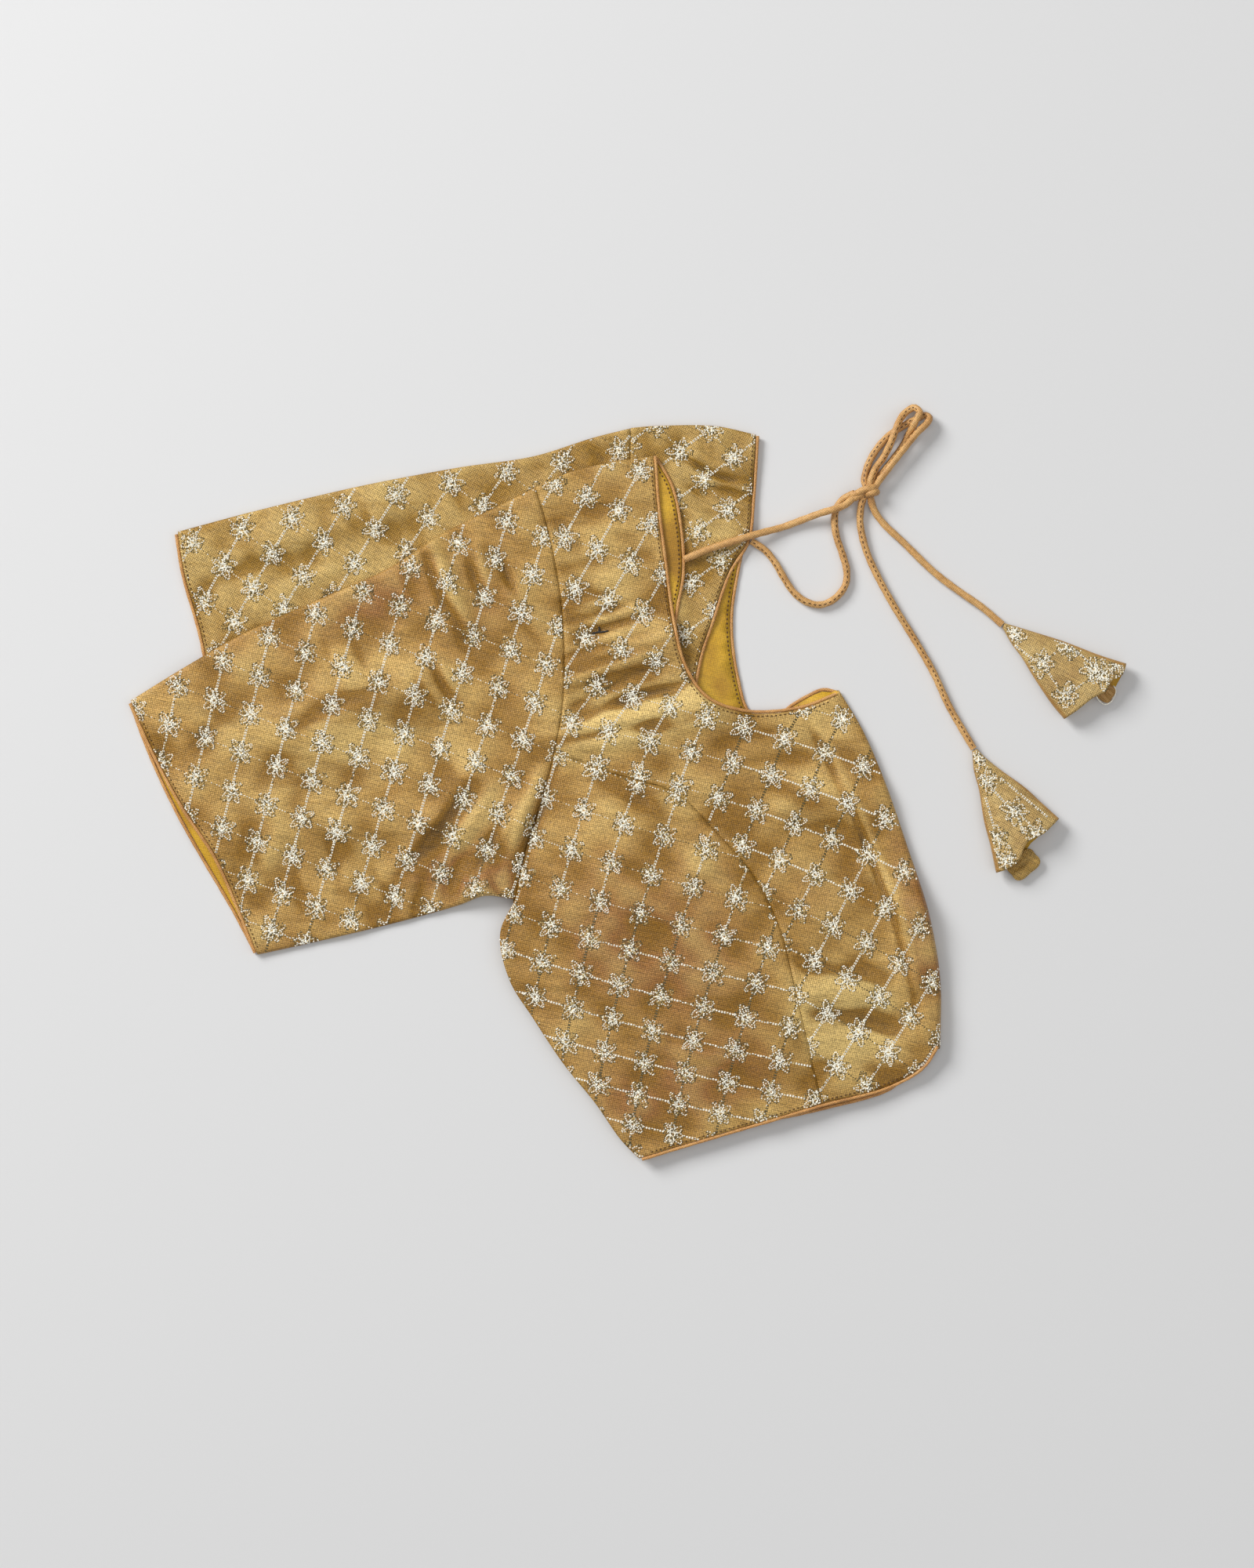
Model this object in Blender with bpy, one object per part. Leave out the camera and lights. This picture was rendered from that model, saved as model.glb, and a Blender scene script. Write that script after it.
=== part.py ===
"""Square neck blouse with tie cords, folded in half along its centre front and laid flat.

Sizes are in millimetres and become metres in the meshes. +X runs to the folded centre front, +Y to the
shoulders and +Z up from the table. Four layers of cloth lie on each other, each PITCH above the last:
far front (face down), far back (face up), near back (face down) and near front (face up). Each sleeve is
a flat tube that carries on from the front and the back of its own half.
"""

import math

import bmesh
import bpy
import numpy as np
from mathutils import Vector
from mathutils.geometry import delaunay_2d_cdt

MM = 0.001

# Driving sizes
WALL = 1.4  # silk, lining and embroidery together
GAP = 0.3  # between neighbouring pieces
PITCH = WALL + GAP
PIPING_WIDTH = 2.2
TOP_PIPING_HEIGHT = 2.0  # round on the top layer, pressed to WALL between layers
CORD_DIAMETER = 3.8
FRONT_FOLD_REACH = 4.0  # how far the front's fold rounds out past its flat part
BACK_FOLD_REACH = 2.2
DRAPE_WIDTH = 28.0  # cloth comes down to the layer below over this width
DRAPE_MARGIN = 12.0  # and starts to do so this far outside that layer's edge
POINT_SPACING = 10.0  # along outlines
TOP_GRID = 10.5  # between a wall's inner points, on the layer that shows
HIDDEN_GRID = 17.0
FOLD_STEPS = 5
SLEEVE_FOLD_REACH = 2.4
NEAR_SLEEVE = {"rings": 20, "over": 14, "under": 14}  # rings of cloth, and divisions across each side
FAR_SLEEVE = {"rings": 15, "over": 10, "under": 5}

# The outline, read from the folded garment: one row of (x, y) points for each cut or folded edge
CUFF_NEAR = [(-218, 49), (-205, 20), (-189, -9), (-173, -33), (-160, -62), (-150, -87)]
CUFF_NEAR_UNDER = [(-218, 49), (-207, 20), (-194, -8), (-179, -35), (-162, -64), (-150, -87)]
SLEEVE_TOP_NEAR = [
    (-218, 49), (-195, 63), (-155, 86), (-115, 104), (-77, 121), (-51, 138), (-17, 155), (1, 164),
]
SLEEVE_UNDER_NEAR = [(-150, -87), (-118, -80), (-76, -70), (-40, -60), (-26, -55), (-10, -57)]
ARMHOLE_NEAR = [(1, 164), (8, 140), (15, 100), (16, 52), (11, 21), (5, -1), (-5, -33), (-10, -57)]
SHOULDER_NEAR = [(1, 164), (22, 173), (41, 177), (66, 181)]
NECK_FRONT_NEAR = [
    (66, 181), (68, 153), (72, 121), (76, 92), (82, 69), (94, 52), (115, 45), (143, 47), (164, 55),
]
FRONT_FOLD = [(164, 55), (176, 35), (187, 10), (200, -27), (212, -65), (218, -100), (218, -134)]
HEM_FRONT_NEAR = [(218, -134), (210, -147), (192, -158), (155, -168), (118, -179), (81, -190), (58, -197)]
SIDE_NEAR = [(-10, -57), (-18, -75), (-13, -100), (0, -121), (16, -145), (33, -166), (47, -186), (58, -197)]
PRINCESS_NEAR = [
    (11, 21), (44, 10), (76, 0), (98, -21), (117, -43), (131, -70), (141, -109), (148, -139),
    (155, -168),
]
NECK_BACK_NEAR = [
    (66, 181), (75, 165), (80, 141), (81, 117), (78, 100), (74, 68), (76, 26), (94, -16), (130, -50),
    (172, -68), (204, -75),
]
BACK_FOLD = [(204, -75), (208, -100), (209, -134)]
HEM_BACK_NEAR = [(209, -134), (202, -149), (192, -159), (155, -170), (118, -178), (81, -187), (57, -193)]
SIDE_BACK_NEAR = [
    (-10, -57), (-17, -75), (-12, -99), (1, -119), (17, -143), (34, -164), (48, -184), (57, -193),
]
CUFF_FAR = [(-193, 140), (-189, 116), (-180, 84), (-171, 37), (-159, -9)]
SLEEVE_TOP_FAR = [(-193, 140), (-152, 151), (-93, 165), (-40, 175), (0, 181), (32, 191), (52, 196)]
SLEEVE_UNDER_FAR = [(-159, -9), (-118, -4), (-68, 2), (-34, -3), (-14, -24)]
ARMHOLE_FAR = [(52, 196), (51, 156), (44, 110), (34, 68), (21, 34), (5, 5), (-14, -24)]
SHOULDER_FAR = [(52, 196), (64, 197), (97, 197), (121, 192)]
NECK_FRONT_FAR = [
    (121, 192), (118, 153), (111, 122), (107, 93), (110, 64), (117, 43), (127, 39), (138, 47),
    (152, 54), (164, 55),
]
NECK_BACK_FAR = [
    (121, 192), (119, 160), (116, 135), (106, 118), (97, 92), (90, 70), (86, 34), (96, -8), (128, -43),
    (170, -66), (204, -75),
]
HEM_BACK_FAR = [(209, -134), (200, -147), (189, -156), (155, -165), (118, -175), (81, -186), (61, -191)]
SIDE_BACK_FAR = [(-14, -24), (-11, -58), (-3, -92), (13, -125), (34, -155), (53, -183), (61, -191)]
HEM_FRONT_FAR = [(218, -134), (206, -144), (187, -154), (155, -163), (118, -173), (81, -184), (64, -189)]
SIDE_FRONT_FAR = [(-14, -24), (-10, -58), (-1, -92), (15, -124), (36, -154), (56, -182), (64, -189)]
PRINCESS_FAR = [(21, 34), (58, 18), (92, -12), (119, -50), (138, -100), (151, -142), (155, -163)]

# Largest folds and fullness of the cloth that shows: a soft ridge from (x0, y0) to (x1, y1)
FOLD_COLUMNS = ("layer", "x0", "y0", "x1", "y1", "rise", "width")
FOLDS = [
    ("near", 55, -38, 120, -95, 6.5, 46),  # bust fullness under the princess seam
    ("near", 172, 20, 205, -62, 3.0, 15),  # roll inside the front fold
    ("near", 205, -62, 209, -125, 3.0, 14),
    ("near", 18, 62, 78, 84, 2.2, 9),  # pulls from the armhole to the neck
    ("near", 15, 30, 92, 42, 2.4, 9),
    ("near", 140, -8, 180, -2, 2.0, 12),
    ("near", 150, -112, 198, -98, 2.0, 12),
    ("near", -58, 128, -38, 92, 3.4, 10),  # across the top of the near sleeve
    ("near", -32, 126, -10, 100, 2.4, 10),
    ("near", -130, 36, -60, 58, 3.2, 15),  # along the near sleeve
    ("near", -34, 5, -62, -36, 3.0, 12),  # into the underarm
    ("near", -10, -8, -30, -48, 2.4, 10),
    ("far", 90, 178, 108, 168, 1.6, 8),  # on the far strap
    ("far", -150, 132, -80, 150, 1.8, 9),  # along the far sleeve
]

# Cord routes, (x, y, height of the middle above the table)
DORI_NEAR_ROUTE = [
    (82.2, 126.0, 5.5), (92.0, 130.2, 5.4), (102.1, 133.6, 5.4), (115.5, 137.8, 5.5), (124.0, 140.2, 4.0),
    (134.0, 143.0, 2.2), (144.9, 147.0, 3.0), (154.0, 150.2, 5.6), (160.0, 151.9, 6.5), (166.0, 154.0, 6.0),
    (169.8, 156.9, 5.2), (172.8, 159.8, 4.7),
]
DORI_FAR_ROUTE = [
    (117.6, 134.8, 2.7), (124.2, 130.4, 2.1), (129.8, 123.4, 2.0), (133.6, 116.8, 2.0), (139.9, 107.5, 2.0),
    (147.0, 102.5, 2.0), (154.1, 101.2, 2.0), (161.7, 104.6, 2.0), (167.2, 111.7, 2.0), (168.0, 119.3, 2.0),
    (165.5, 128.9, 2.0), (162.5, 137.8, 2.0), (161.5, 146.2, 2.0), (162.6, 153.6, 2.0), (166.6, 160.2, 2.2),
    (173.0, 164.4, 2.7),
]
TAIL_ONE_ROUTE = [
    (180.9, 157.2, 3.6), (183.2, 151.0, 2.4), (188.0, 144.5, 2.0), (197.8, 135.2, 2.0), (214.6, 118.9, 2.0),
    (227.2, 109.2, 2.0), (241.1, 99.5, 2.0), (251.5, 90.5, 2.1),
]
TAIL_TWO_ROUTE = [
    (176.3, 157.0, 3.6), (175.2, 150.0, 2.4), (175.4, 143.0, 2.0), (178.5, 130.2, 2.0), (184.0, 117.6, 2.0),
    (192.4, 102.1, 2.0), (207.5, 77.3, 2.0), (214.6, 64.7, 2.0), (223.0, 46.6, 2.0), (230.2, 34.0, 2.0),
    (236.2, 23.9, 2.1),
]
BOW_UNDER_ROUTE = [
    (177.3, 166.8, 2.5), (179.3, 176.0, 2.0), (184.0, 184.6, 2.0), (190.6, 192.0, 2.0), (199.0, 197.6, 2.0),
    (205.6, 201.0, 2.0), (210.2, 202.9, 2.6), (212.2, 201.4, 4.2), (210.6, 198.2, 5.8), (206.2, 194.0, 6.6),
    (200.6, 187.4, 6.4), (195.0, 180.4, 6.3), (189.8, 173.6, 6.2), (184.6, 166.8, 6.0),
]
BOW_OVER_ROUTE = [
    (180.5, 167.6, 5.9), (183.6, 174.6, 3.8), (187.6, 180.2, 3.6), (190.8, 186.4, 5.4), (193.2, 192.6, 6.4),
    (194.7, 196.6, 6.3), (196.8, 201.0, 4.3), (199.8, 204.6, 2.6), (204.2, 207.0, 3.0), (206.9, 204.2, 5.4),
    (204.8, 200.0, 6.2), (203.2, 196.6, 5.6), (200.8, 192.0, 3.0), (198.6, 187.4, 2.0), (194.6, 181.6, 2.0),
    (189.2, 174.6, 2.0), (183.3, 168.0, 2.1),
]
CORDS = {
    "dori_near": (DORI_NEAR_ROUTE, 11),
    "dori_far": (DORI_FAR_ROUTE, 15),
    "tail_one": (TAIL_ONE_ROUTE, 10),
    "tail_two": (TAIL_TWO_ROUTE, 13),
    "bow_under": (BOW_UNDER_ROUTE, 15),
    "bow_over": (BOW_OVER_ROUTE, 16),
}
KNOT = {"centre": (179.0, 162.0, 4.3), "radii": (5.2, 4.4, 4.3), "turn": 20.0}

# Each latkan is a flat cone of cloth: its two side edges from the apex to the mouth, and its mouth's bow
LATKANS = {
    "latkan_one": {
        "left": [(252.6, 91.2), (265.0, 88.0), (280.0, 83.0), (294.0, 77.7), (317.6, 69.6)],
        "right": [(251.6, 89.0), (259.1, 77.3), (271.7, 57.1), (284.3, 39.5)],
        "bow": 9.0,
        "tab": ((309.0, 55.0), (8.0, 5.0)),
    },
    "latkan_two": {
        "left": [(237.6, 24.2), (249.5, 13.4), (263.8, 2.1), (281.8, -12.6)],
        "right": [(235.2, 23.0), (236.9, 6.7), (240.6, -12.0), (247.0, -42.4)],
        "bow": 7.0,
        "tab": ((269.4, -33.6), (8.0, 5.0)),
    },
}
LATKAN_HEIGHT = {"apex": 4.2, "mouth": 11.0}
LATKAN_RECESS = 9.0
LATKAN_TAB_HALF = 2.2
LATKAN_TAB_RISE = WALL + 2 * GAP + LATKAN_TAB_HALF
LATKAN_RINGS = 7
LATKAN_SIDES = 16

COLOURS = {
    "silk": (0.50, 0.28, 0.075),
    "lining": (0.60, 0.36, 0.03),
    "piping": (0.46, 0.21, 0.055),
    "cord": (0.48, 0.25, 0.07),
}
ROUGHNESS = {"silk": 0.45, "lining": 0.6, "piping": 0.6, "cord": 0.55}


def clear_scene():
    for old in list(bpy.data.objects):
        bpy.data.objects.remove(old, do_unlink=True)


def smooth_curve(points, count):
    """count + 1 even points on a centripetal Catmull-Rom curve through the given points."""
    p = np.asarray(points, float)
    p = np.vstack([2 * p[0] - p[1], p, 2 * p[-1] - p[-2]])
    dense = []
    for a, b, c, d in zip(p[:-3], p[1:-2], p[2:-1], p[3:]):
        t0 = 0.0
        t1 = t0 + np.linalg.norm(b - a) ** 0.5
        t2 = t1 + np.linalg.norm(c - b) ** 0.5
        t3 = t2 + np.linalg.norm(d - c) ** 0.5
        for t in np.linspace(t1, t2, 16, endpoint=False):
            ab = (t1 - t) / (t1 - t0) * a + (t - t0) / (t1 - t0) * b
            bc = (t2 - t) / (t2 - t1) * b + (t - t1) / (t2 - t1) * c
            cd = (t3 - t) / (t3 - t2) * c + (t - t2) / (t3 - t2) * d
            abc = (t2 - t) / (t2 - t0) * ab + (t - t0) / (t2 - t0) * bc
            bcd = (t3 - t) / (t3 - t1) * bc + (t - t1) / (t3 - t1) * cd
            dense.append((t2 - t) / (t2 - t1) * abc + (t - t1) / (t2 - t1) * bcd)
    dense = np.array(dense + [p[-2]])
    run = np.r_[0, np.cumsum(np.linalg.norm(np.diff(dense, axis=0), axis=1))]
    want = np.linspace(0, run[-1], count + 1)
    return np.column_stack([np.interp(want, run, dense[:, k]) for k in range(dense.shape[1])])


def length_of(points):
    return float(np.linalg.norm(np.diff(np.asarray(points, float), axis=0), axis=1).sum())


def edge_points(points, spacing=POINT_SPACING):
    return smooth_curve(points, max(2, round(length_of(points) / spacing)))


def split_at(edge, point):
    """Cuts an edge in two at its own point nearest to the given one."""
    k = int(np.argmin(np.linalg.norm(edge - point, axis=1)))
    return edge[: k + 1], edge[k:]


def seam_between(points, start, end):
    """A seam through the given points that meets two other edges exactly."""
    return edge_points([tuple(start), *points[1:-1], tuple(end)])


def outline_of(*edges):
    """Joins (edge, inset) rows that follow each other clockwise, each moved inward by its own inset."""
    rows = []
    for edge, inset in edges:
        run = np.diff(edge, axis=0)
        run /= np.linalg.norm(run, axis=1)[:, None]
        inward = np.column_stack([run[:, 1], -run[:, 0]])
        rows.append((edge, inset, inward))
    points, ends = [], []
    for k, (edge, inset, inward) in enumerate(rows):
        before_inset, before_inward = rows[k - 1][1], rows[k - 1][2][-1]
        for i, p in enumerate(edge[:-1]):
            a, da = (before_inward, before_inset) if i == 0 else (inward[i - 1], inset)
            b, db = inward[i], inset
            square = np.array([a, b])
            if abs(np.linalg.det(square)) > 0.2:
                move = np.linalg.solve(square, [da, db])
            else:
                middle = (a + b) / np.linalg.norm(a + b)
                move = middle * (da + db) / 2
            points.append(p + move)
        ends.append(len(points))
    return np.array(points), ends


def inside_distance(outline, xy):
    """How far each point lies inside the outline, less than 0 outside it."""
    xy = np.atleast_2d(np.asarray(xy, float))
    a = outline
    b = np.roll(outline, -1, axis=0)
    ab = b - a
    t = ((xy[:, None] - a) * ab).sum(2) / (ab * ab).sum(1)
    near = a + np.clip(t, 0, 1)[..., None] * ab
    away = np.linalg.norm(xy[:, None] - near, axis=2).min(1)
    x, y = xy[:, 0, None], xy[:, 1, None]
    crosses = (a[:, 1] > y) != (b[:, 1] > y)
    rise = np.where(ab[:, 1] == 0, 1e-9, ab[:, 1])
    left = x < a[:, 0] + (y - a[:, 1]) * ab[:, 0] / rise
    inside = (crosses & left).sum(1) % 2 == 1
    return np.where(inside, away, -away)


def relief(layer, xy):
    """Height that the largest folds add to a layer."""
    xy = np.atleast_2d(np.asarray(xy, float))
    total = np.zeros(len(xy))
    for row in FOLDS:
        fold = dict(zip(FOLD_COLUMNS, row))
        if fold["layer"] != layer:
            continue
        start = np.array([fold["x0"], fold["y0"]], float)
        run = np.array([fold["x1"], fold["y1"]], float) - start
        t = np.clip(((xy - start) @ run) / (run @ run), 0, 1)
        away = np.linalg.norm(xy - start - t[:, None] * run, axis=1)
        total += fold["rise"] * np.exp(-((away / fold["width"]) ** 2))
    return total


class Stack:
    """Heights of the four layers of cloth: 0 and 1 are the far half's, 2 and 3 the near half's."""

    def __init__(self):
        front_far = self.region(
            (SHOULDER_FAR, NECK_FRONT_FAR, FRONT_FOLD, HEM_FRONT_FAR), (SIDE_FRONT_FAR, ARMHOLE_FAR)
        )
        back_far = self.region(
            (SHOULDER_FAR, NECK_BACK_FAR, BACK_FOLD, HEM_BACK_FAR), (SIDE_BACK_FAR, ARMHOLE_FAR)
        )
        back_near = self.region(
            (SHOULDER_NEAR, NECK_BACK_NEAR, BACK_FOLD, HEM_BACK_NEAR), (SIDE_BACK_NEAR, ARMHOLE_NEAR)
        )
        sleeve_far = self.region((SLEEVE_TOP_FAR, ARMHOLE_FAR), (SLEEVE_UNDER_FAR, CUFF_FAR))
        sleeve_near = self.region((SLEEVE_TOP_NEAR, ARMHOLE_NEAR), (SLEEVE_UNDER_NEAR, CUFF_NEAR_UNDER))
        self.regions = [(front_far, sleeve_far), (back_far, sleeve_far), (back_near, sleeve_near)]

    @staticmethod
    def region(forward, backward):
        """The outline along some edges and back along others."""
        runs = [edge_points(e)[:-1] for e in forward] + [edge_points(e)[::-1][:-1] for e in backward]
        return np.vstack(runs)

    def cover(self, layer, xy):
        inside = np.max([inside_distance(r, xy) for r in self.regions[layer]], axis=0)
        t = np.clip((inside + DRAPE_MARGIN + DRAPE_WIDTH) / DRAPE_WIDTH, 0, 1)
        return t * t * (3 - 2 * t)

    def low(self, layer, xy):
        """The underside of a layer."""
        xy = np.atleast_2d(np.asarray(xy, float))
        height = sum((PITCH * self.cover(k, xy) for k in range(layer)), np.zeros(len(xy)))
        if layer >= 1:
            height = height + relief("far", xy) * (self.cover(1, xy) if layer > 1 else 1)
        return height + (relief("near", xy) if layer == 3 else 0)

    def high(self, layer, xy):
        return self.low(layer, xy) + WALL


def material(name, finish):
    made = bpy.data.materials.new(name)
    made.use_nodes = True
    shader = made.node_tree.nodes["Principled BSDF"]
    shader.inputs["Base Color"].default_value = (*COLOURS[finish], 1)
    shader.inputs["Roughness"].default_value = ROUGHNESS[finish]
    shader.inputs["Metallic"].default_value = 0.0
    made.diffuse_color = (*COLOURS[finish], 1)
    return made


def finish_object(name, bm, finish):
    bmesh.ops.recalc_face_normals(bm, faces=bm.faces)
    bmesh.ops.scale(bm, vec=(MM, MM, MM), verts=bm.verts)
    mesh = bpy.data.meshes.new(name)
    bm.to_mesh(mesh)
    bm.free()
    mesh.shade_smooth()
    mesh.set_sharp_from_angle(angle=math.radians(50))
    made = bpy.data.objects.new(name, mesh)
    made.data.materials.append(material(name, finish))
    bpy.context.collection.objects.link(made)
    return made


def grid_inside(outline, spacing):
    """Staggered points that fill an outline, half a spacing clear of its edge."""
    low, high = outline.min(0), outline.max(0)
    rows = []
    for k, y in enumerate(np.arange(low[1], high[1], spacing * 0.87)):
        x = np.arange(low[0] + (k % 2) * spacing / 2, high[0], spacing)
        rows.append(np.column_stack([x, np.full(len(x), y)]))
    points = np.vstack(rows)
    return points[inside_distance(outline, points) > spacing * 0.55]


def add_wall(bm, outline, spacing, low, high, open_from=None, open_to=None):
    """A wall of cloth over an outline. The rim is left open between two of the outline's points, where the
    cloth folds over. Returns the outline's upper and lower points."""
    n = len(outline)
    points = np.vstack([outline, grid_inside(outline, spacing)])
    loop = [(i, (i + 1) % n) for i in range(n)]
    found, _, faces, source, _, _ = delaunay_2d_cdt([Vector(p) for p in points], loop, [], 1, 1e-6)
    xy = np.array([tuple(p) for p in found])
    tops = [bm.verts.new((x, y, z)) for (x, y), z in zip(xy, high(xy))]
    lows = [bm.verts.new((x, y, z)) for (x, y), z in zip(xy, low(xy))]
    for face in faces:
        bm.faces.new([tops[i] for i in face])
        bm.faces.new([lows[i] for i in reversed(face)])
    place = {old: new for new, olds in enumerate(source) for old in olds}
    rim = [place[i] for i in range(n)]
    for i in range(n):
        if open_from is not None and open_from <= i < open_to:
            continue
        a, b = rim[i], rim[(i + 1) % n]
        bm.faces.new([tops[a], lows[a], lows[b], tops[b]])
    return [tops[i] for i in rim], [lows[i] for i in rim]


def fold_over(bm, near, far, reach):
    """Joins the open rims of two walls round a fold. near and far are (upper, lower) rows of points that
    run the same way along the fold."""
    outer_near, inner_near = near
    inner_far, outer_far = far
    count = len(outer_near)
    middle = np.array([(v.co.x, v.co.y) for v in outer_near])
    run = np.gradient(middle, axis=0)
    run /= np.linalg.norm(run, axis=1)[:, None]
    outward = np.column_stack([-run[:, 1], run[:, 0]])

    def arc(above, below, i, bulge):
        rows = [above]
        for k in range(1, FOLD_STEPS):
            angle = math.pi * k / FOLD_STEPS
            share = (1 - math.cos(angle)) / 2
            p = above.co.lerp(below.co, share)
            push = bulge * math.sin(angle)
            rows.append(bm.verts.new((p.x + outward[i][0] * push, p.y + outward[i][1] * push, p.z)))
        return rows + [below]

    outer = [arc(outer_near[i], outer_far[i], i, reach) for i in range(count)]
    inner = [arc(inner_near[i], inner_far[i], i, reach - WALL) for i in range(count)]
    for sheet in (outer, inner):
        for a, b in zip(sheet, sheet[1:]):
            for k in range(FOLD_STEPS):
                bm.faces.new([a[k], a[k + 1], b[k + 1], b[k]])
    for i in (0, count - 1):
        for k in range(FOLD_STEPS):
            bm.faces.new([outer[i][k], outer[i][k + 1], inner[i][k + 1], inner[i][k]])


def folded_panel(name, near, far, fold_rows, spacing, layers, reach, stack):
    """One cut piece that folds over at its centre: near and far are its two halves' outlines, and
    fold_rows the first and last point of the fold in each."""
    bm = bmesh.new()
    halves = []
    for outline, (first, last), grid, layer in zip((near, far), fold_rows, spacing, layers):
        tops, lows = add_wall(
            bm, outline, grid,
            lambda xy, n=layer: stack.low(n, xy), lambda xy, n=layer: stack.high(n, xy), first, last,
        )
        halves.append((tops[first : last + 1], lows[first : last + 1]))
    fold_over(bm, halves[0], halves[1], reach)
    return finish_object(name, bm, "silk")


def front(stack):
    """Centre front, cut on the fold with both shoulder straps, and the two side fronts."""
    trim = PIPING_WIDTH + GAP
    seam = GAP / 2
    fold = edge_points(FRONT_FOLD)
    halves = {}
    for half, arm, princess, shoulder, neck, hem, side, across, shoulder_inset in (
        ("near", ARMHOLE_NEAR, PRINCESS_NEAR, SHOULDER_NEAR, NECK_FRONT_NEAR, HEM_FRONT_NEAR, SIDE_NEAR,
         NEAR_SLEEVE["over"], seam),
        ("far", ARMHOLE_FAR, PRINCESS_FAR, SHOULDER_FAR, NECK_FRONT_FAR, HEM_FRONT_FAR, SIDE_FRONT_FAR,
         FAR_SLEEVE["under"], 0.6),
    ):
        arm_top, arm_low = split_at(smooth_curve(arm, across), princess[0])
        hem_right, hem_left = split_at(edge_points(hem), princess[-1])
        line = seam_between(princess, arm_top[-1], hem_right[-1])
        centre, ends = outline_of(
            (edge_points(shoulder), shoulder_inset), (edge_points(neck), trim), (fold, FRONT_FOLD_REACH),
            (hem_right, trim), (line[::-1], seam), (arm_top[::-1], seam),
        )
        side_front, _ = outline_of(
            (line, seam), (hem_left, trim), (edge_points(side)[::-1], 0), (arm_low[::-1], seam)
        )
        halves[half] = (centre, (ends[1], ends[2]), side_front)
    folded_panel(
        "front_centre", halves["near"][0], halves["far"][0], (halves["near"][1], halves["far"][1]),
        (TOP_GRID, HIDDEN_GRID), (3, 0), FRONT_FOLD_REACH, stack,
    )
    for name, outline, grid, layer in (
        ("front_side_near", halves["near"][2], TOP_GRID, 3),
        ("front_side_far", halves["far"][2], HIDDEN_GRID, 0),
    ):
        bm = bmesh.new()
        add_wall(bm, outline, grid, lambda xy: stack.low(layer, xy), lambda xy: stack.high(layer, xy))
        finish_object(name, bm, "silk")


def back(stack):
    """The back, cut on the fold, folded face to face between the two halves of the front."""
    trim = PIPING_WIDTH + GAP
    fold = edge_points(BACK_FOLD)
    outlines, folds = [], []
    for shoulder, neck, hem, side, arm, across, shoulder_inset in (
        (SHOULDER_NEAR, NECK_BACK_NEAR, HEM_BACK_NEAR, SIDE_BACK_NEAR, ARMHOLE_NEAR,
         NEAR_SLEEVE["under"], 0.8),
        (SHOULDER_FAR, NECK_BACK_FAR, HEM_BACK_FAR, SIDE_BACK_FAR, ARMHOLE_FAR,
         FAR_SLEEVE["over"], 0),
    ):
        outline, ends = outline_of(
            (edge_points(shoulder), shoulder_inset), (edge_points(neck), trim), (fold, BACK_FOLD_REACH),
            (edge_points(hem), trim), (edge_points(side)[::-1], 0),
            (smooth_curve(arm, across)[::-1], GAP / 2),
        )
        outlines.append(outline)
        folds.append((ends[1], ends[2]))
    folded_panel(
        "back", *outlines, folds, (HIDDEN_GRID, HIDDEN_GRID), (2, 1), BACK_FOLD_REACH, stack
    )


def along(curve, t):
    """The point at a share t of an evenly sampled curve, which may run a little past its ends."""
    place = min(max(t, 0), 1) * (len(curve) - 1)
    k = min(int(place), len(curve) - 2)
    return curve[k] + (curve[k + 1] - curve[k]) * (place - k)


class SleevePlan:
    """The plan of a flat sleeve: s runs from the cuff to the armhole, v from its top to its underarm."""

    def __init__(self, cuff, armhole, top, under):
        self.cuff = smooth_curve(cuff, 60)
        self.armhole = smooth_curve(armhole, 60)
        self.top = smooth_curve(top, 60)
        self.under = smooth_curve(under, 60)
        self.long = (length_of(self.top), length_of(self.under))

    def at(self, s, v):
        long = (1 - v) * self.long[0] + v * self.long[1]
        first, last = (PIPING_WIDTH + 2 * GAP) / long, 1 - GAP / 2 / long
        u = first + (last - first) * s
        sides = (1 - u) * along(self.cuff, v) + u * along(self.armhole, v)
        sides = sides + (1 - v) * along(self.top, u) + v * along(self.under, u)
        corners = (1 - u) * ((1 - v) * self.cuff[0] + v * self.cuff[-1])
        return sides - corners - u * ((1 - v) * self.armhole[0] + v * self.armhole[-1])


def sleeve(name, layers, over_plan, under_plan, counts, stack):
    """A sleeve laid flat: a ring of cloth at each of its stations, closed by folds at both edges."""
    low_layer, top_layer = layers
    bm = bmesh.new()
    skins = ([], [])
    for s in np.linspace(0, 1, counts["rings"]):
        width = np.linalg.norm(over_plan.at(s, 1) - over_plan.at(s, 0))
        for skin, depth in enumerate((0.0, WALL + 0.1)):
            corner = depth / width
            flat = SLEEVE_FOLD_REACH / width + corner * 0.8
            ring = []
            for plan, layer, count, over in (
                (over_plan, top_layer, counts["over"], True),
                (under_plan, low_layer, counts["under"], False),
            ):
                steps = [flat, *(np.arange(1, count) / count), 1 - flat]
                turn = over_plan.at(s, corner if over else 1 - corner)
                ring.append((*turn, stack.low(low_layer, turn)[0] + WALL + GAP / 2))
                points = np.array([plan.at(s, v) for v in (steps if over else steps[::-1])])
                rise = WALL - skin * WALL if over else skin * WALL
                heights = stack.low(layer, points) + rise
                ring.extend((*p, z) for p, z in zip(points, heights))
            skins[skin].append([bm.verts.new(p) for p in ring])
    size = len(skins[0][0])
    for rows in skins:
        for a, b in zip(rows, rows[1:]):
            for i in range(size):
                j = (i + 1) % size
                bm.faces.new([a[i], a[j], b[j], b[i]])
    for k in (0, -1):
        outer, inner = skins[0][k], skins[1][k]
        for i in range(size):
            j = (i + 1) % size
            bm.faces.new([outer[i], outer[j], inner[j], inner[i]])
    finish_object(name, bm, "silk")


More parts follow.
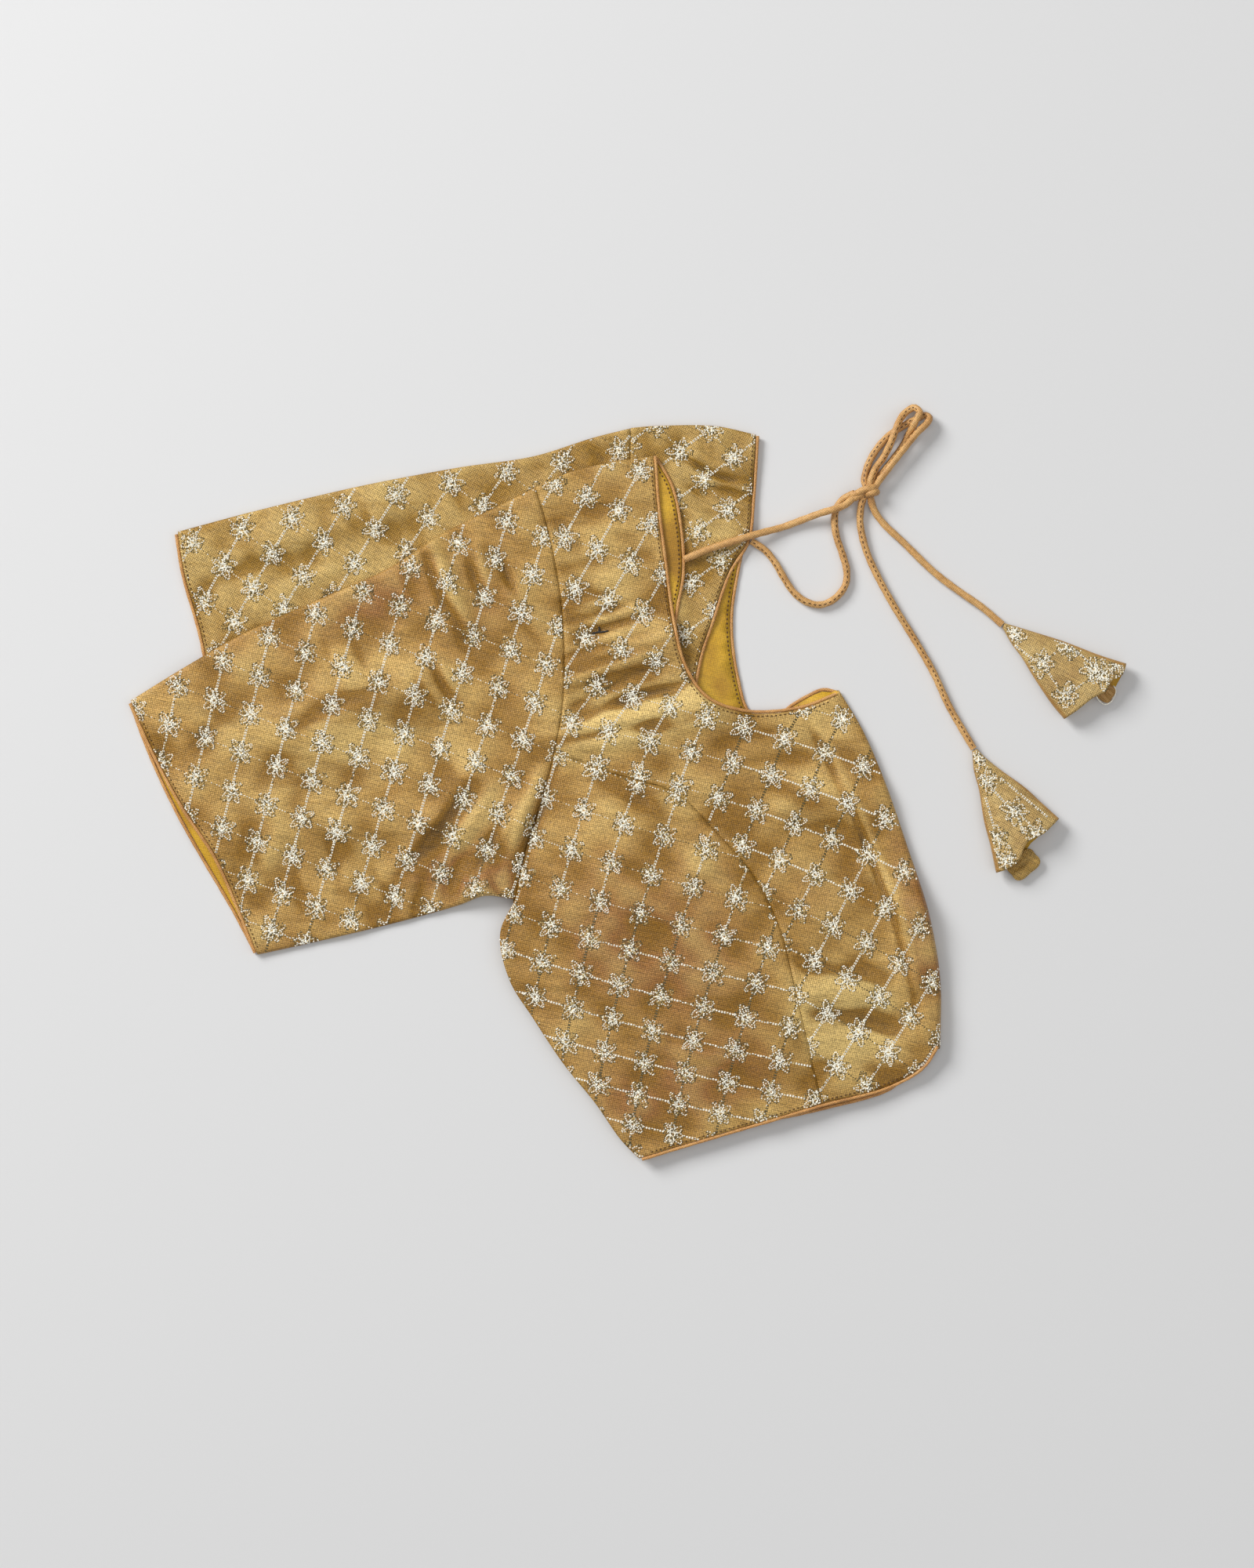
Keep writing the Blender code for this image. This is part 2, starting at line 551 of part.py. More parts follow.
def sleeves(stack):
    near = (ARMHOLE_NEAR, SLEEVE_TOP_NEAR, SLEEVE_UNDER_NEAR)
    over, under = SleevePlan(CUFF_NEAR, *near), SleevePlan(CUFF_NEAR_UNDER, *near)
    sleeve("sleeve_near", (2, 3), over, under, NEAR_SLEEVE, stack)
    far = SleevePlan(CUFF_FAR, ARMHOLE_FAR, SLEEVE_TOP_FAR, SLEEVE_UNDER_FAR)
    sleeve("sleeve_far", (0, 1), far, far, FAR_SLEEVE, stack)


def piping(name, points, layer, height, stack, start, end):
    """A bound edge: an oval strip that follows an edge of a wall, on its outer side."""
    points = points.copy()
    for first, second, short in ((0, 1, start), (-1, -2, end)):
        run = points[second] - points[first]
        points[first] += run / np.linalg.norm(run) * short
    run = np.gradient(points, axis=0)
    run /= np.linalg.norm(run, axis=1)[:, None]
    inward = np.column_stack([run[:, 1], -run[:, 0]])
    centre = points + inward * PIPING_WIDTH / 2
    base = stack.low(layer, centre)
    bm = bmesh.new()
    rings = []
    for p, side, z in zip(centre, inward, base):
        ring = []
        for k in range(6):
            angle = math.pi / 3 * k
            out = math.cos(angle) * PIPING_WIDTH / 2
            up = math.sin(angle) / math.sin(math.pi / 3) * height / 2
            ring.append(bm.verts.new((p[0] + side[0] * out, p[1] + side[1] * out, z + height / 2 + up)))
        rings.append(ring)
    for a, b in zip(rings, rings[1:]):
        for i in range(6):
            j = (i + 1) % 6
            bm.faces.new([a[i], a[j], b[j], b[i]])
    bm.faces.new(rings[0])
    bm.faces.new(rings[-1])
    finish_object(name, bm, "piping")


def pipings(stack):
    """The bound neck, hem and cuffs: (name, edge, layer, height, and how far each end is cut back)."""
    trim = PIPING_WIDTH + GAP
    fold = FRONT_FOLD_REACH + GAP
    fold_end = 1.2
    near_cuff = smooth_curve(CUFF_NEAR, NEAR_SLEEVE["over"])[::-1]
    near_under = smooth_curve(CUFF_NEAR_UNDER, NEAR_SLEEVE["under"])[::-1]
    far_cuff = smooth_curve(CUFF_FAR, FAR_SLEEVE["over"])[::-1]
    far_under = smooth_curve(CUFF_FAR, FAR_SLEEVE["over"])[::-1]
    rows = [
        ("neck_piping_front_near", edge_points(NECK_FRONT_NEAR), 3, TOP_PIPING_HEIGHT, GAP, fold),
        ("neck_piping_back_near", edge_points(NECK_BACK_NEAR), 2, WALL, 1.0, trim),
        ("neck_piping_back_far", edge_points(NECK_BACK_FAR), 1, WALL, GAP, trim),
        ("neck_piping_front_far", edge_points(NECK_FRONT_FAR), 0, WALL, 1.0, fold),
        ("hem_piping_front_near", edge_points(HEM_FRONT_NEAR), 3, TOP_PIPING_HEIGHT, fold, GAP),
        ("hem_piping_back_near", edge_points(HEM_BACK_NEAR), 2, WALL, trim, GAP),
        ("hem_piping_back_far", edge_points(HEM_BACK_FAR), 1, WALL, trim, GAP),
        ("hem_piping_front_far", edge_points(HEM_FRONT_FAR), 0, WALL, fold, GAP),
        ("cuff_piping_near", near_cuff, 3, WALL, fold_end, fold_end),
        ("cuff_piping_near_under", near_under, 2, WALL, fold_end, fold_end),
        ("cuff_piping_far", far_cuff, 1, WALL, fold_end, fold_end),
        ("cuff_piping_far_under", far_under, 0, WALL, fold_end, fold_end),
    ]
    for name, points, layer, height, start, end in rows:
        piping(name, points, layer, height, stack, start, end)


def cords():
    for name, (route, count) in CORDS.items():
        points = smooth_curve(route, count) * MM
        curve = bpy.data.curves.new(name, "CURVE")
        curve.dimensions = "3D"
        curve.bevel_depth = CORD_DIAMETER / 2 * MM
        curve.bevel_resolution = 2
        curve.use_fill_caps = True
        spline = curve.splines.new("POLY")
        spline.points.add(len(points) - 1)
        for point, p in zip(spline.points, points):
            point.co = (*p, 1)
        made = bpy.data.objects.new(name, curve)
        curve.materials.append(material(name, "cord"))
        bpy.context.collection.objects.link(made)


def knot():
    bm = bmesh.new()
    bmesh.ops.create_uvsphere(bm, u_segments=14, v_segments=9, radius=1.0)
    turn = math.radians(KNOT["turn"])
    for v in bm.verts:
        x, y, z = (c * r for c, r in zip(v.co, KNOT["radii"]))
        v.co = (x * math.cos(turn) - y * math.sin(turn), x * math.sin(turn) + y * math.cos(turn), z)
        v.co += Vector(KNOT["centre"])
    finish_object("knot", bm, "cord")


def latkan(name, shape):
    """A square of cloth rolled into a flat cone, hollow at its mouth, and the tab that shows inside it."""
    left = smooth_curve(shape["left"], LATKAN_RINGS)
    right = smooth_curve(shape["right"], LATKAN_RINGS)
    axis = (left[-1] + right[-1] - left[0] - right[0]) / 2
    long = np.linalg.norm(axis)
    axis /= long
    bm = bmesh.new()

    def ring(t, inset):
        k = np.linspace(0, 1, len(left))
        a = np.array([np.interp(t, k, left[:, c]) for c in range(2)])
        b = np.array([np.interp(t, k, right[:, c]) for c in range(2)])
        wide = np.linalg.norm(b - a)
        height = LATKAN_HEIGHT["apex"] + (LATKAN_HEIGHT["mouth"] - LATKAN_HEIGHT["apex"]) * t**0.8
        rows = []
        for i in range(LATKAN_SIDES):
            angle = 2 * math.pi * i / LATKAN_SIDES
            share = 0.5 - math.cos(angle) * (0.5 - inset / wide)
            up = math.copysign(abs(math.sin(angle)) ** 0.7, math.sin(angle))
            z = height / 2 + up * (height / 2 - inset)
            p = a + (b - a) * share + axis * shape["bow"] * t**3 * math.sin(math.pi * share)
            rows.append(bm.verts.new((p[0], p[1], z)))
        return rows

    rings = [ring(t, 0) for t in np.linspace(0, 1, LATKAN_RINGS)]
    rings.append(ring(1, WALL))
    rings.append(ring(1 - LATKAN_RECESS / long, WALL))
    for a, b in zip(rings, rings[1:]):
        for i in range(LATKAN_SIDES):
            j = (i + 1) % LATKAN_SIDES
            bm.faces.new([a[i], a[j], b[j], b[i]])
    for cap in (rings[0], rings[-1]):
        middle = sum((v.co for v in cap), Vector()) / LATKAN_SIDES
        hub = bm.verts.new(middle)
        for i in range(LATKAN_SIDES):
            bm.faces.new([hub, cap[i], cap[(i + 1) % LATKAN_SIDES]])
    finish_object(name, bm, "silk")

    centre, (long_half, wide_half) = shape["tab"]
    across = np.array([-axis[1], axis[0]])
    bm = bmesh.new()
    bmesh.ops.create_uvsphere(bm, u_segments=12, v_segments=6, radius=1.0)
    for v in bm.verts:
        plan = np.array(centre) + axis * v.co.x * long_half + across * v.co.y * wide_half
        v.co = (plan[0], plan[1], LATKAN_TAB_RISE + v.co.z * LATKAN_TAB_HALF)
    finish_object(f"{name}_tab", bm, "silk")


def main():
    clear_scene()
    stack = Stack()
    front(stack)
    back(stack)
    sleeves(stack)
    pipings(stack)
    cords()
    knot()
    for name, shape in LATKANS.items():
        latkan(name, shape)


main()
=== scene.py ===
"""Looks of the square neck blouse, folded in half along its centre front and laid flat.

The tables are in millimetres, as in the part's source, and become metres in the meshes. +X runs to the
folded centre front, +Y to the shoulders and +Z up from the table. The layers of cloth are 0 far front (face
down), 1 far back (face up), 2 near back (face down) and 3 near front (face up).
"""

import math
import random

import bmesh
import bpy
import numpy as np
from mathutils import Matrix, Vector
from mathutils.bvhtree import BVHTree
from mathutils.geometry import delaunay_2d_cdt

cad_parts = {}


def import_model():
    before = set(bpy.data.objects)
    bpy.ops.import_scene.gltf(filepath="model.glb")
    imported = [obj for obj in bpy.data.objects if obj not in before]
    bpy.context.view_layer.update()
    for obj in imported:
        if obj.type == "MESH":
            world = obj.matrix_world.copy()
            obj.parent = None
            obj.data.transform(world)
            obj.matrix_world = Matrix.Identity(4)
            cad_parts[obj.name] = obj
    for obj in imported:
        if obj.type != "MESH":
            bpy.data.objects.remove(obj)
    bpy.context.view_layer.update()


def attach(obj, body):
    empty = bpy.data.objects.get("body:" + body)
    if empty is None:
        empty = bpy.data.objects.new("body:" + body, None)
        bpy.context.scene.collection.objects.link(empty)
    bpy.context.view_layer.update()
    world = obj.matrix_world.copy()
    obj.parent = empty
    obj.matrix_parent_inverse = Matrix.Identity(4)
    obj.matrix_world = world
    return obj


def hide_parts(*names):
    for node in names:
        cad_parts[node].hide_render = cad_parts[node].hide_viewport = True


MM = 0.001

# Sizes shared with the solids
WALL = 1.4
GAP = 0.3
PITCH = WALL + GAP
TRIM_WIDTH = 1.75  # the bound edge that shows, narrower than its solid
TRIM_GAP = 0.1
TOP_PIPING_HEIGHT = 1.9
CORD_DIAMETER = 3.8
FRONT_FOLD_REACH = 4.0
BACK_FOLD_REACH = 2.2
DRAPE_WIDTH = 28.0
DRAPE_MARGIN = 12.0
SLEEVE_FOLD_REACH = 2.4

# Sizes of the looks
CLOTH = 1.0  # silk and lining together, in the shells
EDGE_SPACING = 2.4
TOP_GRID = 1.6
FAR_GRID = 1.8
HIDDEN_GRID = 6.0
SEAM_GAP = 0.03
FOLD_STEPS = 12
SLACK = 0.6  # how far one layer may sink before the next one sinks too
DEEPEST = 1.9
NEAR_SLEEVE = {"rings": 140, "over": 96, "under": 40}
FAR_SLEEVE = {"rings": 110, "over": 84, "under": 36}
SLEEVE_TURN = 5

# The outline: one row of (x, y) points for each cut or folded edge
CUFF_NEAR = [(-218, 49), (-205, 20), (-189, -9), (-173, -33), (-160, -62), (-150, -87)]
CUFF_NEAR_UNDER = [(-218, 49), (-207, 20), (-194, -8), (-179, -35), (-162, -64), (-150, -87)]
SLEEVE_TOP_NEAR = [
    (-218, 49), (-195, 63), (-155, 86), (-115, 104), (-77, 121), (-51, 138), (-17, 155), (1, 164),
]
SLEEVE_UNDER_NEAR = [(-150, -87), (-118, -80), (-76, -70), (-40, -60), (-26, -55), (-10, -57)]
ARMHOLE_NEAR = [(1, 164), (8, 140), (15, 100), (16, 52), (11, 21), (5, -1), (-5, -33), (-10, -57)]
SHOULDER_NEAR = [(1, 164), (22, 173), (41, 177), (66, 181)]
NECK_FRONT_NEAR = [
    (66, 181), (68, 153), (72, 121), (76, 92), (82, 69), (94, 52), (115, 45), (143, 47), (164, 55),
]
FRONT_FOLD = [(164, 55), (176, 35), (187, 10), (200, -27), (212, -65), (218, -100), (218, -134)]
HEM_FRONT_NEAR = [(218, -134), (210, -147), (192, -158), (155, -168), (118, -179), (81, -190), (58, -197)]
SIDE_NEAR = [(-10, -57), (-18, -75), (-13, -100), (0, -121), (16, -145), (33, -166), (47, -186), (58, -197)]
PRINCESS_NEAR = [
    (11, 21), (44, 10), (76, 0), (98, -21), (117, -43), (131, -70), (141, -109), (148, -139),
    (155, -168),
]
NECK_BACK_NEAR = [
    (66, 181), (75, 165), (80, 141), (81, 117), (78, 100), (74, 68), (76, 26), (94, -16), (130, -50),
    (172, -68), (204, -75),
]
BACK_FOLD = [(204, -75), (208, -100), (209, -134)]
HEM_BACK_NEAR = [(209, -134), (202, -149), (192, -159), (155, -170), (118, -178), (81, -187), (57, -193)]
SIDE_BACK_NEAR = [
    (-10, -57), (-17, -75), (-12, -99), (1, -119), (17, -143), (34, -164), (48, -184), (57, -193),
]
CUFF_FAR = [(-193, 140), (-189, 116), (-180, 84), (-171, 37), (-159, -9)]
SLEEVE_TOP_FAR = [(-193, 140), (-152, 151), (-93, 165), (-40, 175), (0, 181), (32, 191), (52, 196)]
SLEEVE_UNDER_FAR = [(-159, -9), (-118, -4), (-68, 2), (-34, -3), (-14, -24)]
ARMHOLE_FAR = [(52, 196), (51, 156), (44, 110), (34, 68), (21, 34), (5, 5), (-14, -24)]
SHOULDER_FAR = [(52, 196), (64, 197), (97, 197), (121, 192)]
NECK_FRONT_FAR = [
    (121, 192), (118, 153), (111, 122), (107, 93), (110, 64), (117, 43), (127, 40), (138, 48),
    (147, 53.2), (155, 56.6), (164, 55),
]
NECK_BACK_FAR = [
    (121, 192), (119, 160), (116, 135), (106, 118), (97, 92), (90, 70), (86, 34), (96, -8), (128, -43),
    (170, -66), (204, -75),
]
HEM_BACK_FAR = [(209, -134), (200, -147), (189, -156), (155, -165), (118, -175), (81, -186), (61, -191)]
SIDE_BACK_FAR = [(-14, -24), (-11, -58), (-3, -92), (13, -125), (34, -155), (53, -183), (61, -191)]
HEM_FRONT_FAR = [(218, -134), (206, -144), (187, -154), (155, -163), (118, -173), (81, -184), (64, -189)]
SIDE_FRONT_FAR = [(-14, -24), (-10, -58), (-1, -92), (15, -124), (36, -154), (56, -182), (64, -189)]
PRINCESS_FAR = [(21, 34), (58, 18), (92, -12), (119, -50), (138, -100), (151, -142), (155, -163)]
SHOULDER_SEAM_FAR = [(52, 187.5), (84, 188), (120, 186.5)]

# The solids' folds and fullness: a soft ridge from (x0, y0) to (x1, y1)
FOLD_COLUMNS = ("half", "x0", "y0", "x1", "y1", "rise", "width")
FOLDS = [
    ("near", 55, -38, 120, -95, 6.5, 46),
    ("near", 172, 20, 205, -62, 3.0, 15),
    ("near", 205, -62, 209, -125, 3.0, 14),
    ("near", 18, 62, 78, 84, 2.2, 9),
    ("near", 15, 30, 92, 42, 2.4, 9),
    ("near", 140, -8, 180, -2, 2.0, 12),
    ("near", 150, -112, 198, -98, 2.0, 12),
    ("near", -58, 128, -38, 92, 3.4, 10),
    ("near", -32, 126, -10, 100, 2.4, 10),
    ("near", -130, 36, -60, 58, 3.2, 15),
    ("near", -34, 5, -62, -36, 3.0, 12),
    ("near", -10, -8, -30, -48, 2.4, 10),
    ("far", 90, 178, 108, 168, 1.6, 8),
    ("far", -150, 132, -80, 150, 1.8, 9),
]

# Creases, finer than the solids show: (half, rise, width, lean, route). A rise below 0 is a trough, and a
# lean from -1 to 1 makes the side to the left of the route steeper or softer.
CREASES = [
    # pulls across the strap, from the armhole to the neck
    ("near", -0.5, 3.0, 0.0, [(6, 146), (34, 152), (65, 155)]),
    ("near", 0.5, 4.0, 0.0, [(8, 136), (34, 141), (66, 144)]),
    ("near", -0.6, 3.0, 0.0, [(10, 118), (30, 124), (64, 128)]),
    ("near", 0.5, 4.0, 0.0, [(12, 110), (40, 116), (68, 121)]),
    ("near", -0.6, 2.6, 0.0, [(14, 102), (36, 107), (58, 113)]),
    ("near", -0.9, 2.8, 0.0, [(15, 91), (27, 94), (40, 98), (58, 105)]),
    ("near", 0.6, 2.6, 0.0, [(16, 88), (34, 92), (60, 100)]),
    ("near", -0.9, 2.6, 0.0, [(17, 85), (36, 89), (54, 94)]),
    ("near", -0.9, 2.6, 0.0, [(16, 80), (40, 88), (66, 98)]),
    ("near", 0.7, 3.0, 0.0, [(17, 76), (42, 83), (68, 92)]),
    ("near", -0.8, 2.6, 0.0, [(15, 72), (44, 81), (68, 88)]),
    ("near", -1.0, 2.8, 0.0, [(18, 64), (41, 72), (70, 80)]),
    ("near", 0.7, 2.8, 0.0, [(17, 60), (42, 67), (72, 76)]),
    ("near", -0.9, 2.6, 0.0, [(16, 53), (38, 62), (60, 69)]),
    ("near", -1.0, 2.8, 0.0, [(19, 46), (36, 54), (54, 64), (70, 70)]),
    ("near", -1.1, 2.8, 0.0, [(16, 44), (50, 51), (83, 59)]),
    ("near", 0.8, 3.0, 0.0, [(18, 43), (50, 54), (78, 63)]),
    ("near", -0.9, 2.6, 0.0, [(15, 37), (38, 45), (61, 53), (80, 57)]),
    ("near", -1.1, 3.0, 0.0, [(13, 27), (52, 35), (94, 46)]),
    ("near", 0.8, 3.2, 0.0, [(14, 33), (52, 40), (90, 50)]),
    ("near", -0.8, 2.6, 0.0, [(43, 28), (72, 36), (100, 43)]),
    ("near", 1.1, 3.6, 0.0, [(16, 22), (40, 27), (62, 29), (77, 23)]),
    ("near", -0.7, 3.2, 0.0, [(96, 26), (118, 31), (144, 36)]),
    ("near", -0.6, 3.0, 0.0, [(100, 14), (126, 18), (150, 19)]),
    # round the head of the sleeve
    ("near", -1.9, 2.8, 0.3, [(-60, 132), (-56, 120), (-52, 108), (-47, 96)]),
    ("near", 1.4, 3.4, 0.0, [(-53, 134), (-48, 120), (-43, 106), (-33, 90)]),
    ("near", -0.9, 2.8, 0.0, [(-46, 100), (-38, 84), (-33, 72)]),
    ("near", -1.5, 2.4, 0.0, [(-36, 127), (-33, 118), (-29, 106)]),
    ("near", 1.0, 2.8, 0.0, [(-30, 136), (-27, 122), (-22, 106)]),
    ("near", -1.5, 2.4, 0.0, [(-18, 128), (-14, 116), (-9, 106)]),
    ("near", -0.8, 2.8, 0.0, [(-72, 122), (-66, 110), (-60, 98)]),
    ("near", -1.8, 2.8, 0.0, [(-54, 70), (-49, 59), (-43, 50)]),
    ("near", -1.2, 2.6, 0.0, [(-64, 64), (-58, 54), (-52, 46)]),
    ("near", 0.9, 4.0, 0.0, [(-52, 72), (-44, 60), (-34, 50)]),
    ("near", -0.7, 2.8, 0.0, [(-6, 92), (0, 84), (6, 78)]),
    # down the sleeve
    ("near", -1.3, 6.0, 0.4, [(-132, 33), (-108, 46), (-84, 56)]),
    ("near", 0.9, 6.0, 0.0, [(-128, 44), (-106, 56), (-80, 64)]),
    ("near", -0.7, 5.0, 0.0, [(-186, 22), (-174, 34), (-166, 52)]),
    ("near", -0.6, 5.0, 0.0, [(-160, -40), (-150, -16), (-146, 8)]),
    ("near", 0.7, 5.0, 0.0, [(-146, -48), (-138, -24), (-134, 0)]),
    ("near", -0.7, 2.8, 0.0, [(-203, 30), (-199, 20), (-193, 8)]),
    ("near", -0.7, 3.0, 0.0, [(-113, 86), (-109, 70), (-103, 54)]),
    ("near", -0.6, 2.8, 0.0, [(-98, 84), (-92, 70), (-86, 58)]),
    ("near", -0.7, 3.0, 0.0, [(-157, -14), (-150, -32), (-142, -50)]),
    ("near", -0.6, 2.8, 0.0, [(-129, -30), (-127, -48), (-123, -68)]),
    ("near", -0.6, 2.6, 0.0, [(-112, -20), (-106, -36), (-104, -54)]),
    ("near", -0.8, 2.8, 0.0, [(-88, -40), (-80, -52), (-73, -66)]),
    ("near", -0.6, 2.6, 0.0, [(-43, 98), (-41, 88), (-38, 76)]),
    # to the underarm
    ("near", -1.9, 5.0, 0.3, [(-30, 10), (-44, -10), (-64, -34), (-78, -52)]),
    ("near", 1.6, 5.0, 0.0, [(-20, 4), (-34, -18), (-50, -42)]),
    ("near", -1.6, 3.6, 0.0, [(-12, -4), (-22, -24), (-34, -48)]),
    ("near", -1.0, 3.0, 0.0, [(-58, -42), (-62, -56), (-64, -66)]),
    ("near", -1.1, 3.0, 0.0, [(-40, -38), (-42, -48), (-43, -58)]),
    ("near", 0.8, 3.0, 0.0, [(-50, -44), (-52, -54), (-53, -64)]),
    ("near", -1.0, 2.4, 0.0, [(-24, -46), (-20, -52), (-16, -57)]),
    ("near", 1.5, 3.6, 0.0, [(4, 14), (-3, -6), (-11, -28), (-17, -46)]),
    ("near", -1.9, 2.8, 0.0, [(13, 18), (7, -1), (-2, -24), (-8, -44), (-11, -56)]),
    # breast and belly
    ("near", -0.9, 4.0, 0.0, [(24, 12), (44, 2), (70, -9)]),
    ("near", 0.7, 4.0, 0.0, [(20, 2), (40, -8), (62, -20)]),
    ("near", -1.2, 5.0, 0.0, [(118, 6), (142, -1), (166, -10)]),
    ("near", 1.0, 6.0, 0.0, [(118, 15), (144, 9), (172, 2)]),
    ("near", -0.8, 4.0, 0.0, [(130, -14), (148, -18), (170, -18)]),
    ("near", -1.2, 2.2, 0.5, [
        (147, 36), (156, 19), (162, 6), (172, -13), (176, -25), (184, -45), (192, -66), (196, -82),
        (200, -98), (202, -106), (206, -131),
    ]),
    ("near", 0.8, 2.4, 0.0, [
        (152, 38), (161, 20), (168, 5), (177, -14), (182, -27), (190, -47), (197, -68), (202, -86),
        (205, -104),
    ]),
    ("near", -1.1, 4.5, 0.0, [(138, -90), (158, -94), (192, -98)]),
    ("near", 1.0, 5.0, 0.0, [(140, -102), (168, -106), (196, -112)]),
    ("near", -1.0, 4.5, 0.0, [(142, -116), (172, -120), (200, -128)]),
    ("near", 0.8, 5.0, 0.0, [(150, -130), (174, -132), (196, -138)]),
    ("near", -0.7, 4.0, 0.0, [(152, -146), (172, -146), (190, -150)]),
    ("near", -0.6, 5.0, 0.0, [(22, -52), (48, -66), (76, -90)]),
    ("near", 0.6, 6.0, 0.0, [(30, -40), (60, -56), (92, -84)]),
    ("near", -0.6, 5.0, 0.0, [(60, -128), (90, -134), (124, -136)]),
    # the strap and sleeve of the other half
    ("far", -2.0, 1.7, 0.0, [(77, 182), (86, 177), (95, 171.6), (104, 168.6), (114, 167.4)]),
    ("far", 1.0, 2.8, 0.0, [(80, 174), (94, 167), (114, 163)]),
    ("far", -1.6, 1.7, 0.0, [(98, 164), (107, 161.6), (116, 157.6)]),
    ("far", -0.8, 2.2, 0.0, [(80, 166), (88, 162), (96, 162)]),
    ("far", -0.6, 2.6, 0.0, [(90, 152), (104, 149), (116, 146)]),
    ("far", 0.6, 3.0, 0.0, [(88, 140), (104, 137), (114, 134)]),
    ("far", -0.7, 4.0, 0.0, [(-180, 112), (-154, 120), (-120, 130)]),
    ("far", 0.7, 4.0, 0.0, [(-146, 106), (-116, 116), (-80, 132)]),
    ("far", -0.8, 3.0, 0.0, [(-96, 162), (-90, 150), (-86, 138)]),
    ("far", -0.8, 2.6, 0.0, [(-48, 172), (-42, 160), (-38, 150)]),
    ("far", -0.9, 2.6, 0.0, [(30, 188), (36, 180), (40, 172)]),
]
RIPPLES = {"rise": 0.13, "count": 18, "shortest": 14.0, "longest": 60.0}
SEAM_PUCKER = {"rise": 0.3, "reach": 5.0, "spacing": 8.0}
SEAMS = {  # layer: route, depth and width of the groove
    1: [(ARMHOLE_FAR, 0.45, 1.1), (SHOULDER_SEAM_FAR, 0.45, 1.0)],
    3: [(ARMHOLE_NEAR, 0.5, 1.1), (PRINCESS_NEAR, 0.4, 1.4)],
}

# The silk's painted sheen: (half, x, y, two half widths, the first one's turn, amount), paler above 0 as
# painted highlight and browner below it as painted shade
PAINTED_SHEEN = [
    ("near", 158, 34, 28, 12, -32, 0.4), ("near", 168, -120, 26, 22, 0, 2.2),
    ("near", 186, -46, 40, 6, -68, 0.4), ("near", 22, 6, 22, 15, 0, 0.2),
    ("near", 34, 112, 20, 36, 0, 0.5), ("near", 66, 44, 40, 14, 15, 1.5),
    ("near", -95, 34, 50, 26, 14, 0.5), ("near", -150, 24, 34, 24, -34, 0.2),
    ("near", -106, -50, 44, 16, 12, 0.2), ("near", -22, 60, 22, 40, 0, -0.1),
    ("near", 66, -84, 62, 46, -40, -0.9), ("near", 80, -156, 44, 16, 15, -0.9),
    ("near", 138, -40, 26, 22, 0, -0.1), ("near", 208, -70, 46, 9, -76, -1.3),
    ("near", -92, 98, 50, 14, 30, -0.6), ("near", -36, -44, 28, 12, 0, -1.0),
    ("near", -50, 110, 26, 22, 0, -0.3), ("far", -130, 124, 80, 26, 14, 0.3),
    ("far", 96, 160, 26, 30, 0, 0.1), ("far", 6, 176, 30, 8, 15, -0.3),
]

# Cord routes, (x, y, height of the middle above the table)
DORI_NEAR_ROUTE = [
    (80.6, 125.4, 5.0), (92.0, 130.2, 5.4), (102.1, 133.6, 5.4), (115.5, 137.8, 5.5), (124.0, 140.2, 4.0),
    (134.0, 143.0, 2.2), (144.9, 147.0, 3.0), (154.0, 150.2, 5.6), (160.0, 151.9, 6.5), (166.0, 154.0, 6.0),
    (169.8, 156.9, 5.2), (172.8, 159.8, 4.7),
]
DORI_FAR_ROUTE = [
    (116.6, 135.4, 2.9), (124.2, 130.4, 2.1), (129.8, 123.4, 2.0), (133.6, 116.8, 2.0), (139.9, 107.5, 2.0),
    (147.0, 102.5, 2.0), (154.1, 101.2, 2.0), (161.7, 104.6, 2.0), (167.2, 111.7, 2.0), (168.0, 119.3, 2.0),
    (165.5, 128.9, 2.0), (162.5, 137.8, 2.0), (161.4, 146.2, 2.0), (162.2, 152.2, 2.0), (165.0, 156.9, 3.0),
    (169.4, 159.8, 4.2), (172.0, 160.8, 5.2),
]
TAIL_ONE_ROUTE = [
    (180.4, 161.0, 4.6), (180.9, 157.2, 3.6), (183.2, 151.0, 2.4), (188.0, 144.5, 2.0),
    (197.8, 135.2, 2.0), (214.6, 118.9, 2.0), (227.2, 109.2, 2.0), (241.1, 99.5, 2.0), (251.5, 90.5, 2.1),
]
TAIL_TWO_ROUTE = [
    (178.6, 161.0, 4.4), (176.3, 157.0, 3.6), (175.2, 150.0, 2.4), (175.4, 143.0, 2.0),
    (178.5, 130.2, 2.0), (184.0, 117.6, 2.0), (192.4, 102.1, 2.0), (207.5, 77.3, 2.0), (214.6, 64.7, 2.0),
    (223.0, 46.6, 2.0), (230.2, 34.0, 2.0), (236.2, 23.9, 2.1),
]
BOW_UNDER_ROUTE = [
    (179.2, 163.0, 3.2), (177.5, 167.2, 2.5), (179.3, 176.0, 2.0), (184.0, 184.6, 2.0),
    (190.6, 192.0, 2.0), (199.0, 197.6, 2.0), (205.6, 201.0, 2.0), (210.2, 202.9, 2.6),
    (212.2, 201.4, 4.2), (210.6, 198.2, 5.8), (206.2, 194.0, 6.6), (200.6, 187.4, 6.4),
    (195.0, 180.4, 6.3), (189.8, 173.6, 6.2), (184.8, 167.2, 6.0), (182.4, 163.2, 5.2),
]
